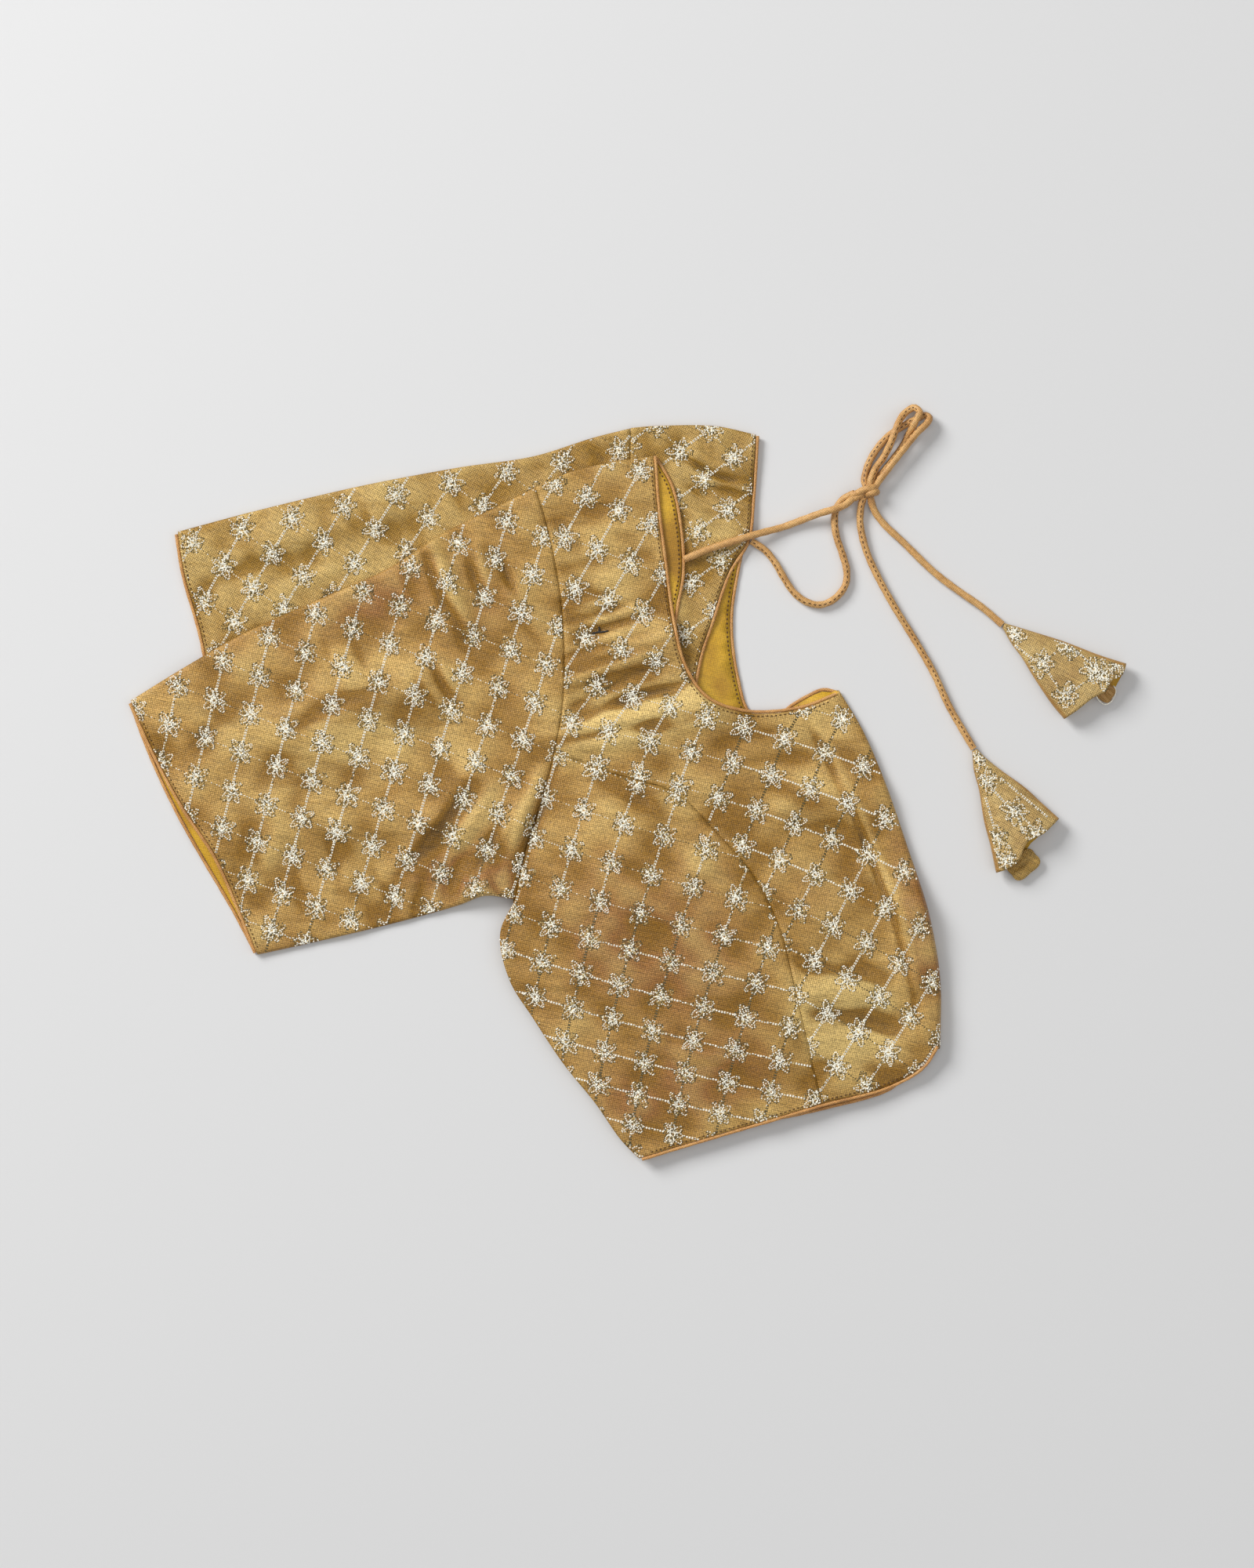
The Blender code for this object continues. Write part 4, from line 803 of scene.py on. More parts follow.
def make_materials():
    silk = ((0.315, 0.137, 0.030), (0.435, 0.245, 0.056), (0.66, 0.46, 0.155), (0.25, 0.115, 0.003))
    silk_far = ((0.32, 0.165, 0.036), (0.43, 0.26, 0.064), (0.61, 0.43, 0.145), (0.28, 0.14, 0.005))
    silk_cone = ((0.32, 0.185, 0.05), (0.47, 0.305, 0.10), (0.64, 0.48, 0.20), (0.26, 0.15, 0.03))
    lining = ((0.42, 0.215, 0.008), (0.57, 0.315, 0.012), (0.69, 0.42, 0.03), (0.34, 0.16, 0.005))
    piping = ((0.43, 0.195, 0.05), (0.54, 0.265, 0.075), (0.64, 0.36, 0.12), (0.35, 0.16, 0.03))
    cord = ((0.45, 0.22, 0.065), (0.57, 0.31, 0.10), (0.68, 0.41, 0.155), (0.33, 0.15, 0.04))
    satin = ((0.33, 0.165, 0.042), (0.44, 0.245, 0.07), (0.58, 0.38, 0.14), (0.25, 0.12, 0.02))
    return {
        "silk": cloth_material("silk", silk, 12.0, 0.46, 0.16, 0.1, 0.6, (22.0, 0.65), 20.0),
        "silk_far": cloth_material("silk_far", silk_far, 30.0, 0.46, 0.16, 0.1, 0.6, (22.0, 0.65), -28.0),
        "silk_cone": cloth_material("silk_cone", silk_cone, 30.0, 0.46, 0.14, 0.1, 0.6, (60.0, 1.0)),
        "lining": cloth_material("lining", lining, 12.0, 0.55, 0.0, 0.1, 0.3),
        "piping": cloth_material("piping", piping, 40.0, 0.5, 0.0, 0.15, 0.4, (90.0, 1.2)),
        "satin": cloth_material("satin", satin, 40.0, 0.36, 0.15, 0.1, 0.3, (60.0, 1.2)),
        "cord": cloth_material("cord", cord, 40.0, 0.5, 0.0, 0.2, 0.4, (110.0, 1.2)),
        # The metal thread: near white for its painted glint, gold, and near black, partly dark thread and
        # partly painted shadow between the stitches
        "zari_bright": thread_material("zari_bright", (0.97, 0.94, 0.82), 0.28, 0.1),
        "zari_gold": thread_material("zari_gold", (0.60, 0.47, 0.22), 0.35, 0.2),
        "zari_dark": thread_material("zari_dark", (0.10, 0.072, 0.02), 0.5, 0.1),
        "thread": thread_material("thread", (0.10, 0.045, 0.008), 0.6, 0.0),
        "seam": thread_material("seam", (0.11, 0.05, 0.012), 0.6, 0.0),
        "tack": thread_material("tack", (0.012, 0.012, 0.014), 0.6, 0.0),
    }


def finish_piece(name, bm, materials, nodes=(), sharp=None):
    bmesh.ops.recalc_face_normals(bm, faces=bm.faces)
    bmesh.ops.scale(bm, vec=(MM, MM, MM), verts=bm.verts)
    mesh = bpy.data.meshes.new(name)
    bm.to_mesh(mesh)
    bm.free()
    mesh.shade_smooth()
    if sharp is not None:
        mesh.set_sharp_from_angle(angle=math.radians(sharp))
    return place_piece(name, mesh, materials, nodes)


def place_piece(name, mesh, materials, nodes=()):
    made = bpy.data.objects.new(name, mesh)
    for used in materials:
        made.data.materials.append(used)
    bpy.context.collection.objects.link(made)
    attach(made, "root")
    if nodes:
        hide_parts(*nodes)
    return made


# Painted sheen: above 0 a painted highlight, below it painted shade
def painted_sheen_at(half, xy):
    total = np.zeros(len(xy))
    for owner, x, y, first, second, turn, amount in PAINTED_SHEEN:
        if owner == half:
            c, s = math.cos(math.radians(turn)), math.sin(math.radians(turn))
            off = xy - (x, y)
            u, v = (off[:, 0] * c + off[:, 1] * s) / first, (off[:, 1] * c - off[:, 0] * s) / second
            total += amount * np.exp(-(u * u + v * v))
    return total


def paint_sheen_and_shade(piece, half):
    """Gives a piece the values that its material reads: its painted sheen, and where it is creased, which
    the material paints as shade in troughs and as highlight on ridges.
    """
    flat = np.empty(3 * len(piece.data.vertices))
    piece.data.vertices.foreach_get("co", flat)
    xy = flat.reshape(-1, 3)[:, :2] / MM
    creases = fine_creases(half, xy)
    # Troughs are scaled for painted shade and ridges for painted highlight
    creases *= np.where(creases < 0, CREASE_PAINTED_LIGHT["crease_shade"], CREASE_PAINTED_LIGHT["ridge_highlight"])
    for name, values in (("painted_sheen", painted_sheen_at(half, xy)), ("crease", creases)):
        made = piece.data.attributes.new(name, "FLOAT", "POINT")
        made.data.foreach_set("value", values.astype(np.float32))


def grid_inside(outline, spacing):
    low, high = outline.min(0), outline.max(0)
    rows = []
    for k, y in enumerate(np.arange(low[1], high[1], spacing * 0.87)):
        x = np.arange(low[0] + (k % 2) * spacing / 2, high[0], spacing)
        rows.append(np.column_stack([x, np.full(len(x), y)]))
    points = np.vstack(rows)
    return points[inside_distance(outline, points) > spacing * 0.55]


def add_wall(bm, outline, spacing, stack, layer, face_up, open_span=None):
    """A thin shell over an outline, with its outside (material 0) up or down and its lining (material 1) on
    the other side. The rim stays open along open_span, where the cloth folds over."""
    n = len(outline)
    points = np.vstack([outline, grid_inside(outline, spacing)])
    loop = [(i, (i + 1) % n) for i in range(n)]
    found, _, faces, source, _, _ = delaunay_2d_cdt([Vector(p) for p in points], loop, [], 1, 1e-6)
    xy = np.array([tuple(p) for p in found])
    z = stack.top(layer, xy)
    tops = [bm.verts.new((x, y, h)) for (x, y), h in zip(xy, z)]
    lows = [bm.verts.new((x, y, h - CLOTH)) for (x, y), h in zip(xy, z)]
    for face in faces:
        bm.faces.new([tops[i] for i in face]).material_index = 0 if face_up else 1
        bm.faces.new([lows[i] for i in reversed(face)]).material_index = 1 if face_up else 0
    place = {old: new for new, olds in enumerate(source) for old in olds}
    rim = [place[i] for i in range(n)]
    for i in range(n):
        if open_span is not None and open_span[0] <= i < open_span[1]:
            continue
        a, b = rim[i], rim[(i + 1) % n]
        bm.faces.new([tops[a], lows[a], lows[b], tops[b]])
    return [tops[i] for i in rim], [lows[i] for i in rim]


def fold_over(bm, near, far, reach):
    """Joins the open rims of two shells round a fold."""
    outer_near, inner_near = near
    inner_far, outer_far = far
    middle = np.array([(v.co.x, v.co.y) for v in outer_near])
    outward = -right_of(ways_along(middle))

    def arc(above, below, i, bulge):
        rows = [above]
        for k in range(1, FOLD_STEPS):
            angle = math.pi * k / FOLD_STEPS
            p = above.co.lerp(below.co, (1 - math.cos(angle)) / 2)
            push = bulge * math.sin(angle)
            rows.append(bm.verts.new((p.x + outward[i][0] * push, p.y + outward[i][1] * push, p.z)))
        return rows + [below]

    count = len(outer_near)
    outer = [arc(outer_near[i], outer_far[i], i, reach) for i in range(count)]
    inner = [arc(inner_near[i], inner_far[i], i, reach - CLOTH) for i in range(count)]
    for index, sheet in ((0, outer), (1, inner)):
        for a, b in zip(sheet, sheet[1:]):
            for k in range(FOLD_STEPS):
                bm.faces.new([a[k], a[k + 1], b[k + 1], b[k]]).material_index = index
    for i in (0, count - 1):
        for k in range(FOLD_STEPS):
            bm.faces.new([outer[i][k], outer[i][k + 1], inner[i][k + 1], inner[i][k]])


def front(stack, looks):
    trim = TRIM_WIDTH + TRIM_GAP
    fold = edge_points(FRONT_FOLD)
    halves = {}
    for half, arm, princess, shoulder, neck, hem, side, inset, spacing in (
        ("near", ARMHOLE_NEAR, PRINCESS_NEAR, SHOULDER_NEAR, NECK_FRONT_NEAR, HEM_FRONT_NEAR, SIDE_NEAR,
         SEAM_GAP, EDGE_SPACING),
        ("far", ARMHOLE_FAR, PRINCESS_FAR, SHOULDER_FAR, NECK_FRONT_FAR, HEM_FRONT_FAR, SIDE_FRONT_FAR, 0.6,
         EDGE_SPACING * 2),
    ):
        arm_top, arm_low = split_at(edge_points(arm, spacing), princess[0])
        hem_right, hem_left = split_at(edge_points(hem, spacing), princess[-1])
        line = seam_between(princess, arm_top[-1], hem_right[-1])
        centre, ends = outline_of(
            (edge_points(shoulder, spacing), inset), (edge_points(neck, spacing), trim),
            (fold, FRONT_FOLD_REACH), (hem_right, trim), (line[::-1], SEAM_GAP), (arm_top[::-1], SEAM_GAP),
        )
        side_front, _ = outline_of(
            (line, SEAM_GAP), (hem_left, trim), (edge_points(side, spacing)[::-1], 0),
            (arm_low[::-1], SEAM_GAP),
        )
        halves[half] = (centre, (ends[1], ends[2]), side_front)
    bm = bmesh.new()
    rims = []
    for half, grid, layer, face_up in (("near", TOP_GRID, 3, True), ("far", HIDDEN_GRID, 0, False)):
        outline, span, _ = halves[half]
        tops, lows = add_wall(bm, outline, grid, stack, layer, face_up, span)
        rims.append((tops[span[0] : span[1] + 1], lows[span[0] : span[1] + 1]))
    fold_over(bm, rims[0], rims[1], FRONT_FOLD_REACH)
    centre = finish_piece("front_centre_cloth", bm, [looks["silk"], looks["lining"]], ["front_centre"])
    paint_sheen_and_shade(centre, "near")
    sides = []
    for half, grid, layer, face_up in (("near", TOP_GRID, 3, True), ("far", HIDDEN_GRID, 0, False)):
        bm = bmesh.new()
        add_wall(bm, halves[half][2], grid, stack, layer, face_up)
        name = f"front_side_{half}"
        sides.append(finish_piece(f"{name}_cloth", bm, [looks["silk"], looks["lining"]], [name]))
        paint_sheen_and_shade(sides[-1], half)
    return centre, *sides


def back(stack, looks):
    trim = TRIM_WIDTH + TRIM_GAP
    fold = edge_points(BACK_FOLD)
    bm = bmesh.new()
    rims = []
    for shoulder, neck, hem, side, arm, inset, layer, face_up in (
        (SHOULDER_NEAR, NECK_BACK_NEAR, HEM_BACK_NEAR, SIDE_BACK_NEAR, ARMHOLE_NEAR, 0.8, 2, False),
        (SHOULDER_FAR, NECK_BACK_FAR, HEM_BACK_FAR, SIDE_BACK_FAR, ARMHOLE_FAR, 0, 1, True),
    ):
        outline, ends = outline_of(
            (edge_points(shoulder), inset), (edge_points(neck), trim), (fold, BACK_FOLD_REACH),
            (edge_points(hem), trim), (edge_points(side)[::-1], 0), (edge_points(arm)[::-1], SEAM_GAP),
        )
        span = (ends[1], ends[2])
        tops, lows = add_wall(bm, outline, FAR_GRID, stack, layer, face_up, span)
        rims.append((tops[span[0] : span[1] + 1], lows[span[0] : span[1] + 1]))
    fold_over(bm, rims[0], rims[1], BACK_FOLD_REACH)
    made = finish_piece("back_cloth", bm, [looks["silk_far"], looks["lining"]], ["back"])
    paint_sheen_and_shade(made, "far")
    return made


def along(curve, t):
    place = min(max(t, 0), 1) * (len(curve) - 1)
    k = min(int(place), len(curve) - 2)
    return curve[k] + (curve[k + 1] - curve[k]) * (place - k)


class SleevePlan:
    """The plan of a flat sleeve: s runs from the cuff to the armhole, v from its top to its underarm."""

    def __init__(self, cuff, armhole, top, under):
        self.cuff = smooth_curve(cuff, 90)
        self.armhole = smooth_curve(armhole, 90)
        self.top = smooth_curve(top, 90)
        self.under = smooth_curve(under, 90)
        self.long = (length_of(self.top), length_of(self.under))

    def at(self, s, v):
        long = (1 - v) * self.long[0] + v * self.long[1]
        first, last = (TRIM_WIDTH + TRIM_GAP) / long, 1 - SEAM_GAP / long
        u = first + (last - first) * s
        sides = (1 - u) * along(self.cuff, v) + u * along(self.armhole, v)
        sides = sides + (1 - v) * along(self.top, u) + v * along(self.under, u)
        corners = (1 - u) * ((1 - v) * self.cuff[0] + v * self.cuff[-1])
        return sides - corners - u * ((1 - v) * self.armhole[0] + v * self.armhole[-1])


def join_rings(bm, a, b, material=0):
    """A band of faces between two closed rings."""
    for i in range(len(a)):
        j = (i + 1) % len(a)
        bm.faces.new([a[i], a[j], b[j], b[i]]).material_index = material


def sleeve(name, layers, over_plan, under_plan, counts, stack, materials):
    """A sleeve laid flat: rings of cloth round it, outside and inside."""
    low_layer, top_layer = layers
    bm = bmesh.new()
    skins = []
    turns = [math.pi / 2 * (2 * k / (SLEEVE_TURN + 1) - 1) for k in range(1, SLEEVE_TURN + 1)]
    stations = np.linspace(0, 1, counts["rings"])
    width = [np.linalg.norm(over_plan.at(s, 1) - over_plan.at(s, 0)) for s in stations]
    for depth in (0.0, CLOTH):
        plan_points, kinds = [], []
        for s, wide in zip(stations, width):
            edge, flat = depth / wide, (SLEEVE_FOLD_REACH + depth * 0.8) / wide
            over = [flat, *np.linspace(flat, 1 - flat, counts["over"])[1:-1], 1 - flat]
            under = [1 - flat, *np.linspace(1 - flat, flat, counts["under"])[1:-1], flat]
            for v in over:
                plan_points.append(over_plan.at(s, v))
                kinds.append(1.0)
            for turn in turns:
                v = 1 - edge - (flat - edge) * (1 - math.cos(turn))
                plan_points.append(over_plan.at(s, v))
                kinds.append(-math.sin(turn))
            for v in under:
                plan_points.append(under_plan.at(s, v))
                kinds.append(-1.0)
            for turn in turns:
                v = edge + (flat - edge) * (1 - math.cos(turn))
                plan_points.append(over_plan.at(s, v))
                kinds.append(math.sin(turn))
        xy, share = np.array(plan_points), np.array(kinds) / 2 + 0.5
        high = stack.top(top_layer, xy) - depth
        low = stack.low(low_layer, xy) + depth
        z = low + (high - low) * share
        size = len(xy) // len(stations)
        verts = [bm.verts.new((x, y, h)) for (x, y), h in zip(xy, z)]
        skins.append([verts[k * size : (k + 1) * size] for k in range(len(stations))])
    for index, rows in enumerate(skins):
        for a, b in zip(rows, rows[1:]):
            join_rings(bm, a, b, index)
    for k in (0, -1):
        join_rings(bm, skins[0][k], skins[1][k])
    return finish_piece(f"{name}_cloth", bm, materials, [name])


def sleeves(stack, looks):
    near = (ARMHOLE_NEAR, SLEEVE_TOP_NEAR, SLEEVE_UNDER_NEAR)
    over, under = SleevePlan(CUFF_NEAR, *near), SleevePlan(CUFF_NEAR_UNDER, *near)
    close = sleeve(
        "sleeve_near", (2, 3), over, under, NEAR_SLEEVE, stack, [looks["silk"], looks["lining"]]
    )
    plan = SleevePlan(CUFF_FAR, ARMHOLE_FAR, SLEEVE_TOP_FAR, SLEEVE_UNDER_FAR)
    away = sleeve(
        "sleeve_far", (0, 1), plan, plan, FAR_SLEEVE, stack, [looks["silk_far"], looks["lining"]]
    )
    paint_sheen_and_shade(close, "near")
    paint_sheen_and_shade(away, "far")
    return close, away


def tube(bm, rings):
    """Closes rows of rings into a tube with flat ends."""
    made = [[bm.verts.new(p) for p in ring] for ring in rings]
    for a, b in zip(made, made[1:]):
        join_rings(bm, a, b)
    bm.faces.new(made[0])
    bm.faces.new(made[-1])


def piping(name, edge, layer, height, start, end, stack, looks):
    """A bound edge, rolled over and a little uneven along its length."""
    points = edge_points(edge, 2.2)
    for first, second, short in ((0, 1, start), (-1, -2, end)):
        run = points[second] - points[first]
        points[first] += run / np.linalg.norm(run) * min(short, 0.8 * np.linalg.norm(run))
    keep = slice(1 if start > 2 else 0, -1 if end > 2 else None)
    points = points[keep]
    inward = right_of(ways_along(points))
    centre = points + inward * TRIM_WIDTH / 2
    base = stack.low(layer, centre)
    rings = []
    for i, (p, side, z) in enumerate(zip(centre, inward, base)):
        swell = 1 + 0.05 * math.sin(i * 1.9) + 0.04 * math.sin(i * 0.83 + 1)
        ring = []
        for k in range(10):
            angle = 2 * math.pi * k / 10
            out = math.cos(angle) * TRIM_WIDTH / 2 * swell
            up = math.copysign(abs(math.sin(angle)) ** 0.8, math.sin(angle)) * height / 2 * swell
            ring.append((p[0] + side[0] * out, p[1] + side[1] * out, z + height / 2 * swell + up))
        rings.append(ring)
    bm = bmesh.new()
    tube(bm, rings)
    return finish_piece(f"{name}_bound", bm, [looks["piping"]], [name], 60)


def pipings(stack, looks):
    fold = FRONT_FOLD_REACH + GAP
    trim = TRIM_WIDTH + TRIM_GAP
    rows = [
        ("neck_piping_front_near", NECK_FRONT_NEAR, 3, TOP_PIPING_HEIGHT, GAP, fold),
        ("neck_piping_back_near", NECK_BACK_NEAR, 2, WALL, 1.0, trim),
        ("neck_piping_back_far", NECK_BACK_FAR, 1, WALL, GAP, trim),
        ("neck_piping_front_far", NECK_FRONT_FAR, 0, WALL, 1.0, 0.6),
        ("hem_piping_front_near", HEM_FRONT_NEAR, 3, TOP_PIPING_HEIGHT, fold, GAP),
        ("hem_piping_back_near", HEM_BACK_NEAR, 2, WALL, trim, GAP),
        ("hem_piping_back_far", HEM_BACK_FAR, 1, WALL, trim, GAP),
        ("hem_piping_front_far", HEM_FRONT_FAR, 0, WALL, fold, GAP),
        ("cuff_piping_near", CUFF_NEAR[::-1], 3, WALL, 1.2, 1.2),
        ("cuff_piping_near_under", CUFF_NEAR_UNDER[::-1], 2, WALL, 1.2, 1.2),
        ("cuff_piping_far", CUFF_FAR[::-1], 1, WALL, 1.2, 1.2),
        ("cuff_piping_far_under", CUFF_FAR[::-1], 0, WALL, 1.2, 1.2),
    ]
    return {row[0]: piping(*row, stack, looks) for row in rows}


def frames_along(path):
    """A side and an up vector at each point of a route, without twist."""
    run = ways_along(path)
    side = np.cross(run[0], (0, 0, 1))
    side /= np.linalg.norm(side)
    sides = []
    for r in run:
        side = side - r * (side @ r)
        side /= np.linalg.norm(side)
        sides.append(side)
    sides = np.array(sides)
    return sides, np.cross(sides, run)


def cord(name, route, looks):
    count = round(length_of(smooth_curve(route, 80)) / CORD_STEP)
    path = smooth_curve(route, count)
    sides, ups = frames_along(path)
    rings, seams = [], []
    wave = random.Random(len(route))
    phase = wave.uniform(0, 6)
    for i, (p, side, up) in enumerate(zip(path, sides, ups)):
        radius = CORD_DIAMETER / 2 * (1 + 0.035 * math.sin(i * 1.3 + phase) + 0.02 * math.sin(i * 0.45))
        seam = math.radians(CORD_SEAMS[name]) + 0.2 * math.sin(i * 0.09 + phase)
        seams.append(round(seam / (2 * math.pi) * CORD_SIDES - 0.5) % CORD_SIDES)
        ring = []
        for k in range(CORD_SIDES):
            angle = 2 * math.pi * k / CORD_SIDES
            groove = 0.10 * math.exp(-(((math.remainder(angle - seam, 2 * math.pi)) / 0.3) ** 2))
            reach = radius * (1 - groove)
            ring.append(p + side * math.cos(angle) * reach + up * math.sin(angle) * reach)
        rings.append(ring)
    bm = bmesh.new()
    tube(bm, rings)
    bm.faces.ensure_lookup_table()
    for i, k in enumerate(seams[1:-1]):
        if i % 2:
            bm.faces[i * CORD_SIDES + k].material_index = 1
    made = finish_piece(f"{name}_cord", bm, [looks["cord"], looks["seam"]], [name], 60)
    return made, path


def cords(looks):
    rows = {
        "dori_near": DORI_NEAR_ROUTE, "dori_far": DORI_FAR_ROUTE, "tail_one": TAIL_ONE_ROUTE,
        "tail_two": TAIL_TWO_ROUTE, "bow_under": BOW_UNDER_ROUTE, "bow_over": BOW_OVER_ROUTE,
    }
    return {name: cord(name, route, looks) for name, route in rows.items()}


def tree_of(piece):
    mesh = piece.data
    return BVHTree.FromPolygons([v.co for v in mesh.vertices], [tuple(f.vertices) for f in mesh.polygons])


def petal(angle, long, wide, bright, out):
    """A pointed loop of stitches from near the flower's middle, with a darker vein and dark stitches beside
    it, partly dark thread and partly painted shadow.
    """
    angle += rng.uniform(-9, 9)
    long *= rng.uniform(0.84, 1.08)
    turn = math.radians(angle)
    axis, across = (math.cos(turn), math.sin(turn)), (-math.sin(turn), math.cos(turn))
    steps = max(3, round(long / STITCH["step"]))

    def spot(t, offset):
        r = PETAL_START + (long - PETAL_START) * t
        return (axis[0] * r + across[0] * offset, axis[1] * r + across[1] * offset)

    def half(t):
        return wide / 2 * math.sin(math.pi * min(1, t * 0.93 + 0.07)) ** 0.75

    for side in (1, -1):
        for k in range(steps):
            t0 = (k + rng.uniform(0, 0.2)) / steps
            t1 = min(1, t0 + 0.95 / steps)
            tone = 0 if rng.random() < bright else rng.choice((1, 2))
            near, far = half(t0) - rng.uniform(0.1, 0.4), half(t1) + rng.uniform(0.05, 0.35)
            out.append((*spot(t0, side * near), *spot(t1, side * far), tone))
            # Dark stitches beside the loop: partly dark thread, partly painted shadow
            if rng.random() < 0.6:
                out.append((*spot(t0, side * (near + 1.0)), *spot(t1, side * (far + 0.45)), 2))
    for k in range(1, steps - 1):
        tone, lean = rng.choice((0, 0, 1, 2, 2)), rng.uniform(-0.5, 0.5)
        out.append((*spot(k / steps, lean), *spot((k + 0.8) / steps, -lean), tone))


def flower(lit):
    """Stitches (x0, y0, x1, y1, tone) round the middle, with the chain line along +X."""
    out = []
    lit *= rng.uniform(0.88, 1.1)
    for angle, long, wide, bright in PETALS:
        if long > 6 or rng.random() < 0.9:
            petal(angle, long, wide, bright * lit, out)
    for k in range(HEART_STITCHES):
        turn = math.radians(100 * k + rng.uniform(-15, 15))
        r = 0.1 + 0.11 * k
        c, s = math.cos(turn), math.sin(turn)
        out.append((c * r, s * r, c * (r + 1.0), s * (r + 1.0), 0 if rng.random() < 0.8 * lit else 2))
    return out


def smooth_step(low, high, value):
    t = float(np.clip((value - low) / (high - low), 0, 1))
    return t * t * (3 - 2 * t)


def lattice_point(maps, i, j):
    terms = (1, i, j, i * i, i * j, j * j)
    points = [np.array([sum(t * row[c] for t, row in zip(terms, rows)) for c in range(2)]) for rows in maps]
    if len(points) == 1:
        return points[0]
    share = smooth_step(*MAP_BLEND, points[0][1])
    return points[0] * share + points[1] * (1 - share)


def line_tones(half, spot):
    """How far the chain lines are the dark ones and the running lines the bright ones, painted shade and
    painted glint on the metal thread, and how far the running lines are darkened with painted shade."""
    if half == "far":
        return 0.0, 0.0
    x, y = spot
    low = smooth_step(*GLINT_SWAP_LOW["y"], y) * smooth_step(*GLINT_SWAP_LOW["x"], x)
    high = smooth_step(*GLINT_SWAP_HIGH["y"], y) * smooth_step(*GLINT_SWAP_HIGH["y_end"], y)
    high *= smooth_step(*GLINT_SWAP_HIGH["x"], x)
    return max(low, high), smooth_step(*SHADED_LINES["x"], x) * smooth_step(*SHADED_LINES["y"], y)


def lattice_stitches(maps, low, high, half):
    """The stitches of a cloth's flowers, chain lines and running lines between two corners of the plan."""
    rows = []
    for i in range(-LATTICE_REACH, LATTICE_REACH + 1):
        for j in range(-LATTICE_REACH, LATTICE_REACH + 1):
            centre = lattice_point(maps, i, j)
            if not ((centre > low - LATTICE_MARGIN).all() and (centre < high + LATTICE_MARGIN).all()):
                continue
            up = centre - lattice_point(maps, i + 1, j)
            side = lattice_point(maps, i, j + 1) - centre
            pitch, wide = np.linalg.norm(up), np.linalg.norm(side)
            if not (PITCH_LIMITS[0] < pitch < PITCH_LIMITS[1] and PITCH_LIMITS[0] < wide < PITCH_LIMITS[1]):
                continue
            if side[0] * up[1] - side[1] * up[0] < 0.4 * pitch * wide:
                continue
            up, side = up / pitch, side / wide
            # Where the metal thread's glint and shade are painted: dark chain lines, bright or darkened
            # running lines
            turned, line_shade = line_tones(half, centre)
            # More bright stitches where the silk's sheen is painted as highlight, fewer where it is painted
            # as shade
            lit = 1 + 0.3 * float(np.clip(painted_sheen_at(half, centre[None])[0], -1, 0.6))
            rows += flower_rows(centre, up, rng.uniform(0.95, 1.06), lit)
            above = lattice_point(maps, i - 1, j)
            way_up = (above - centre) / np.linalg.norm(above - centre)
            gap, bright = way_up * CHAIN["start"], (0.86 - 0.72 * turned) * lit
            rows += chain_rows(centre + gap, above - gap, bright, turned > 0.5)
            r = RUNNING["start"]
            across = np.array([-side[1], side[0]])
            lines = (1, -1) if turned > 0.5 else (0,)
            bright = (0.55 + 0.35 * turned - 0.4 * line_shade) * lit
            while r < wide - RUNNING["start"]:
                for way in lines:
                    a = centre + side * r + across * (way * RUNNING["apart"] + rng.uniform(-0.1, 0.1))
                    b = a + side * (RUNNING["long"] + RUNNING["longer"] * turned)
                    tone = 0 if rng.random() < bright else rng.choice((1, 2, 2) if line_shade < 0.5 else (2,))
                    rows.append((*a, *b, tone + (SLIM if line_shade < 0.5 else 0)))
                r += RUNNING["step"]
    return np.array(rows)


def stitch_mesh(name, rows, host, tones, covers=(), skin=0, up=1, wide=1.0):
    """Sews plan stitches onto one skin of a piece, its outside (0) or lining (1): each is a small raised
    grain whose ends lie on the cloth. Nothing is sewn where a cover lies above."""
    tree = tree_of(host)
    skins = [f.material_index for f in host.data.polygons]
    start = up * RAY_START
    verts, faces, used = [], [], []
    for x0, y0, x1, y1, tone in rows:
        ends = []
        for x, y in ((x0, y0), (x1, y1)):
            origin, way = Vector((x * MM, y * MM, start)), Vector((0, 0, -up))
            hit, normal, index, _ = tree.ray_cast(origin, way)
            if hit is None or abs(normal.z) < 0.2 or skins[index] != skin:
                break
            if normal.z * up < 0:
                normal = -normal
            if any(c.ray_cast(origin, way, (origin - hit).length - 0.0002)[0] is not None for c in covers):
                break
            ends.append((hit, normal))
        if len(ends) < 2:
            continue
        (a, na), (b, nb) = ends
        normal = ((na + nb) / 2).normalized()
        run = b - a
        if not STITCH_LIMITS[0] <= run.length <= STITCH_LIMITS[1]:
            continue
        slim = SLIM_SHARE if tone >= SLIM else 1.0
        tone = int(tone) % SLIM
        side = run.cross(normal).normalized() * STITCH["width"] * slim * wide / 2 * MM
        middle = (a + b) / 2
        k = len(verts)
        tall = STITCH["height"] * MM * (1.0 if tone < 2 else 0.5) * (0.5 + 0.5 * slim)
        sink, rise = normal * 0.00005, normal * tall * 0.3
        verts += [a - sink, b - sink, middle + side + rise, middle - side + rise, middle + normal * tall]
        faces += [(k, k + 2, k + 4), (k + 2, k + 1, k + 4), (k + 1, k + 3, k + 4), (k + 3, k, k + 4),
                  (k, k + 1, k + 2), (k, k + 3, k + 1)]
        used += [tone] * 6
    mesh = bpy.data.meshes.new(name)
    mesh.from_pydata(verts, [], faces)
    mesh.polygons.foreach_set("material_index", used)
    mesh.update()
    return place_piece(name, mesh, tones, ())


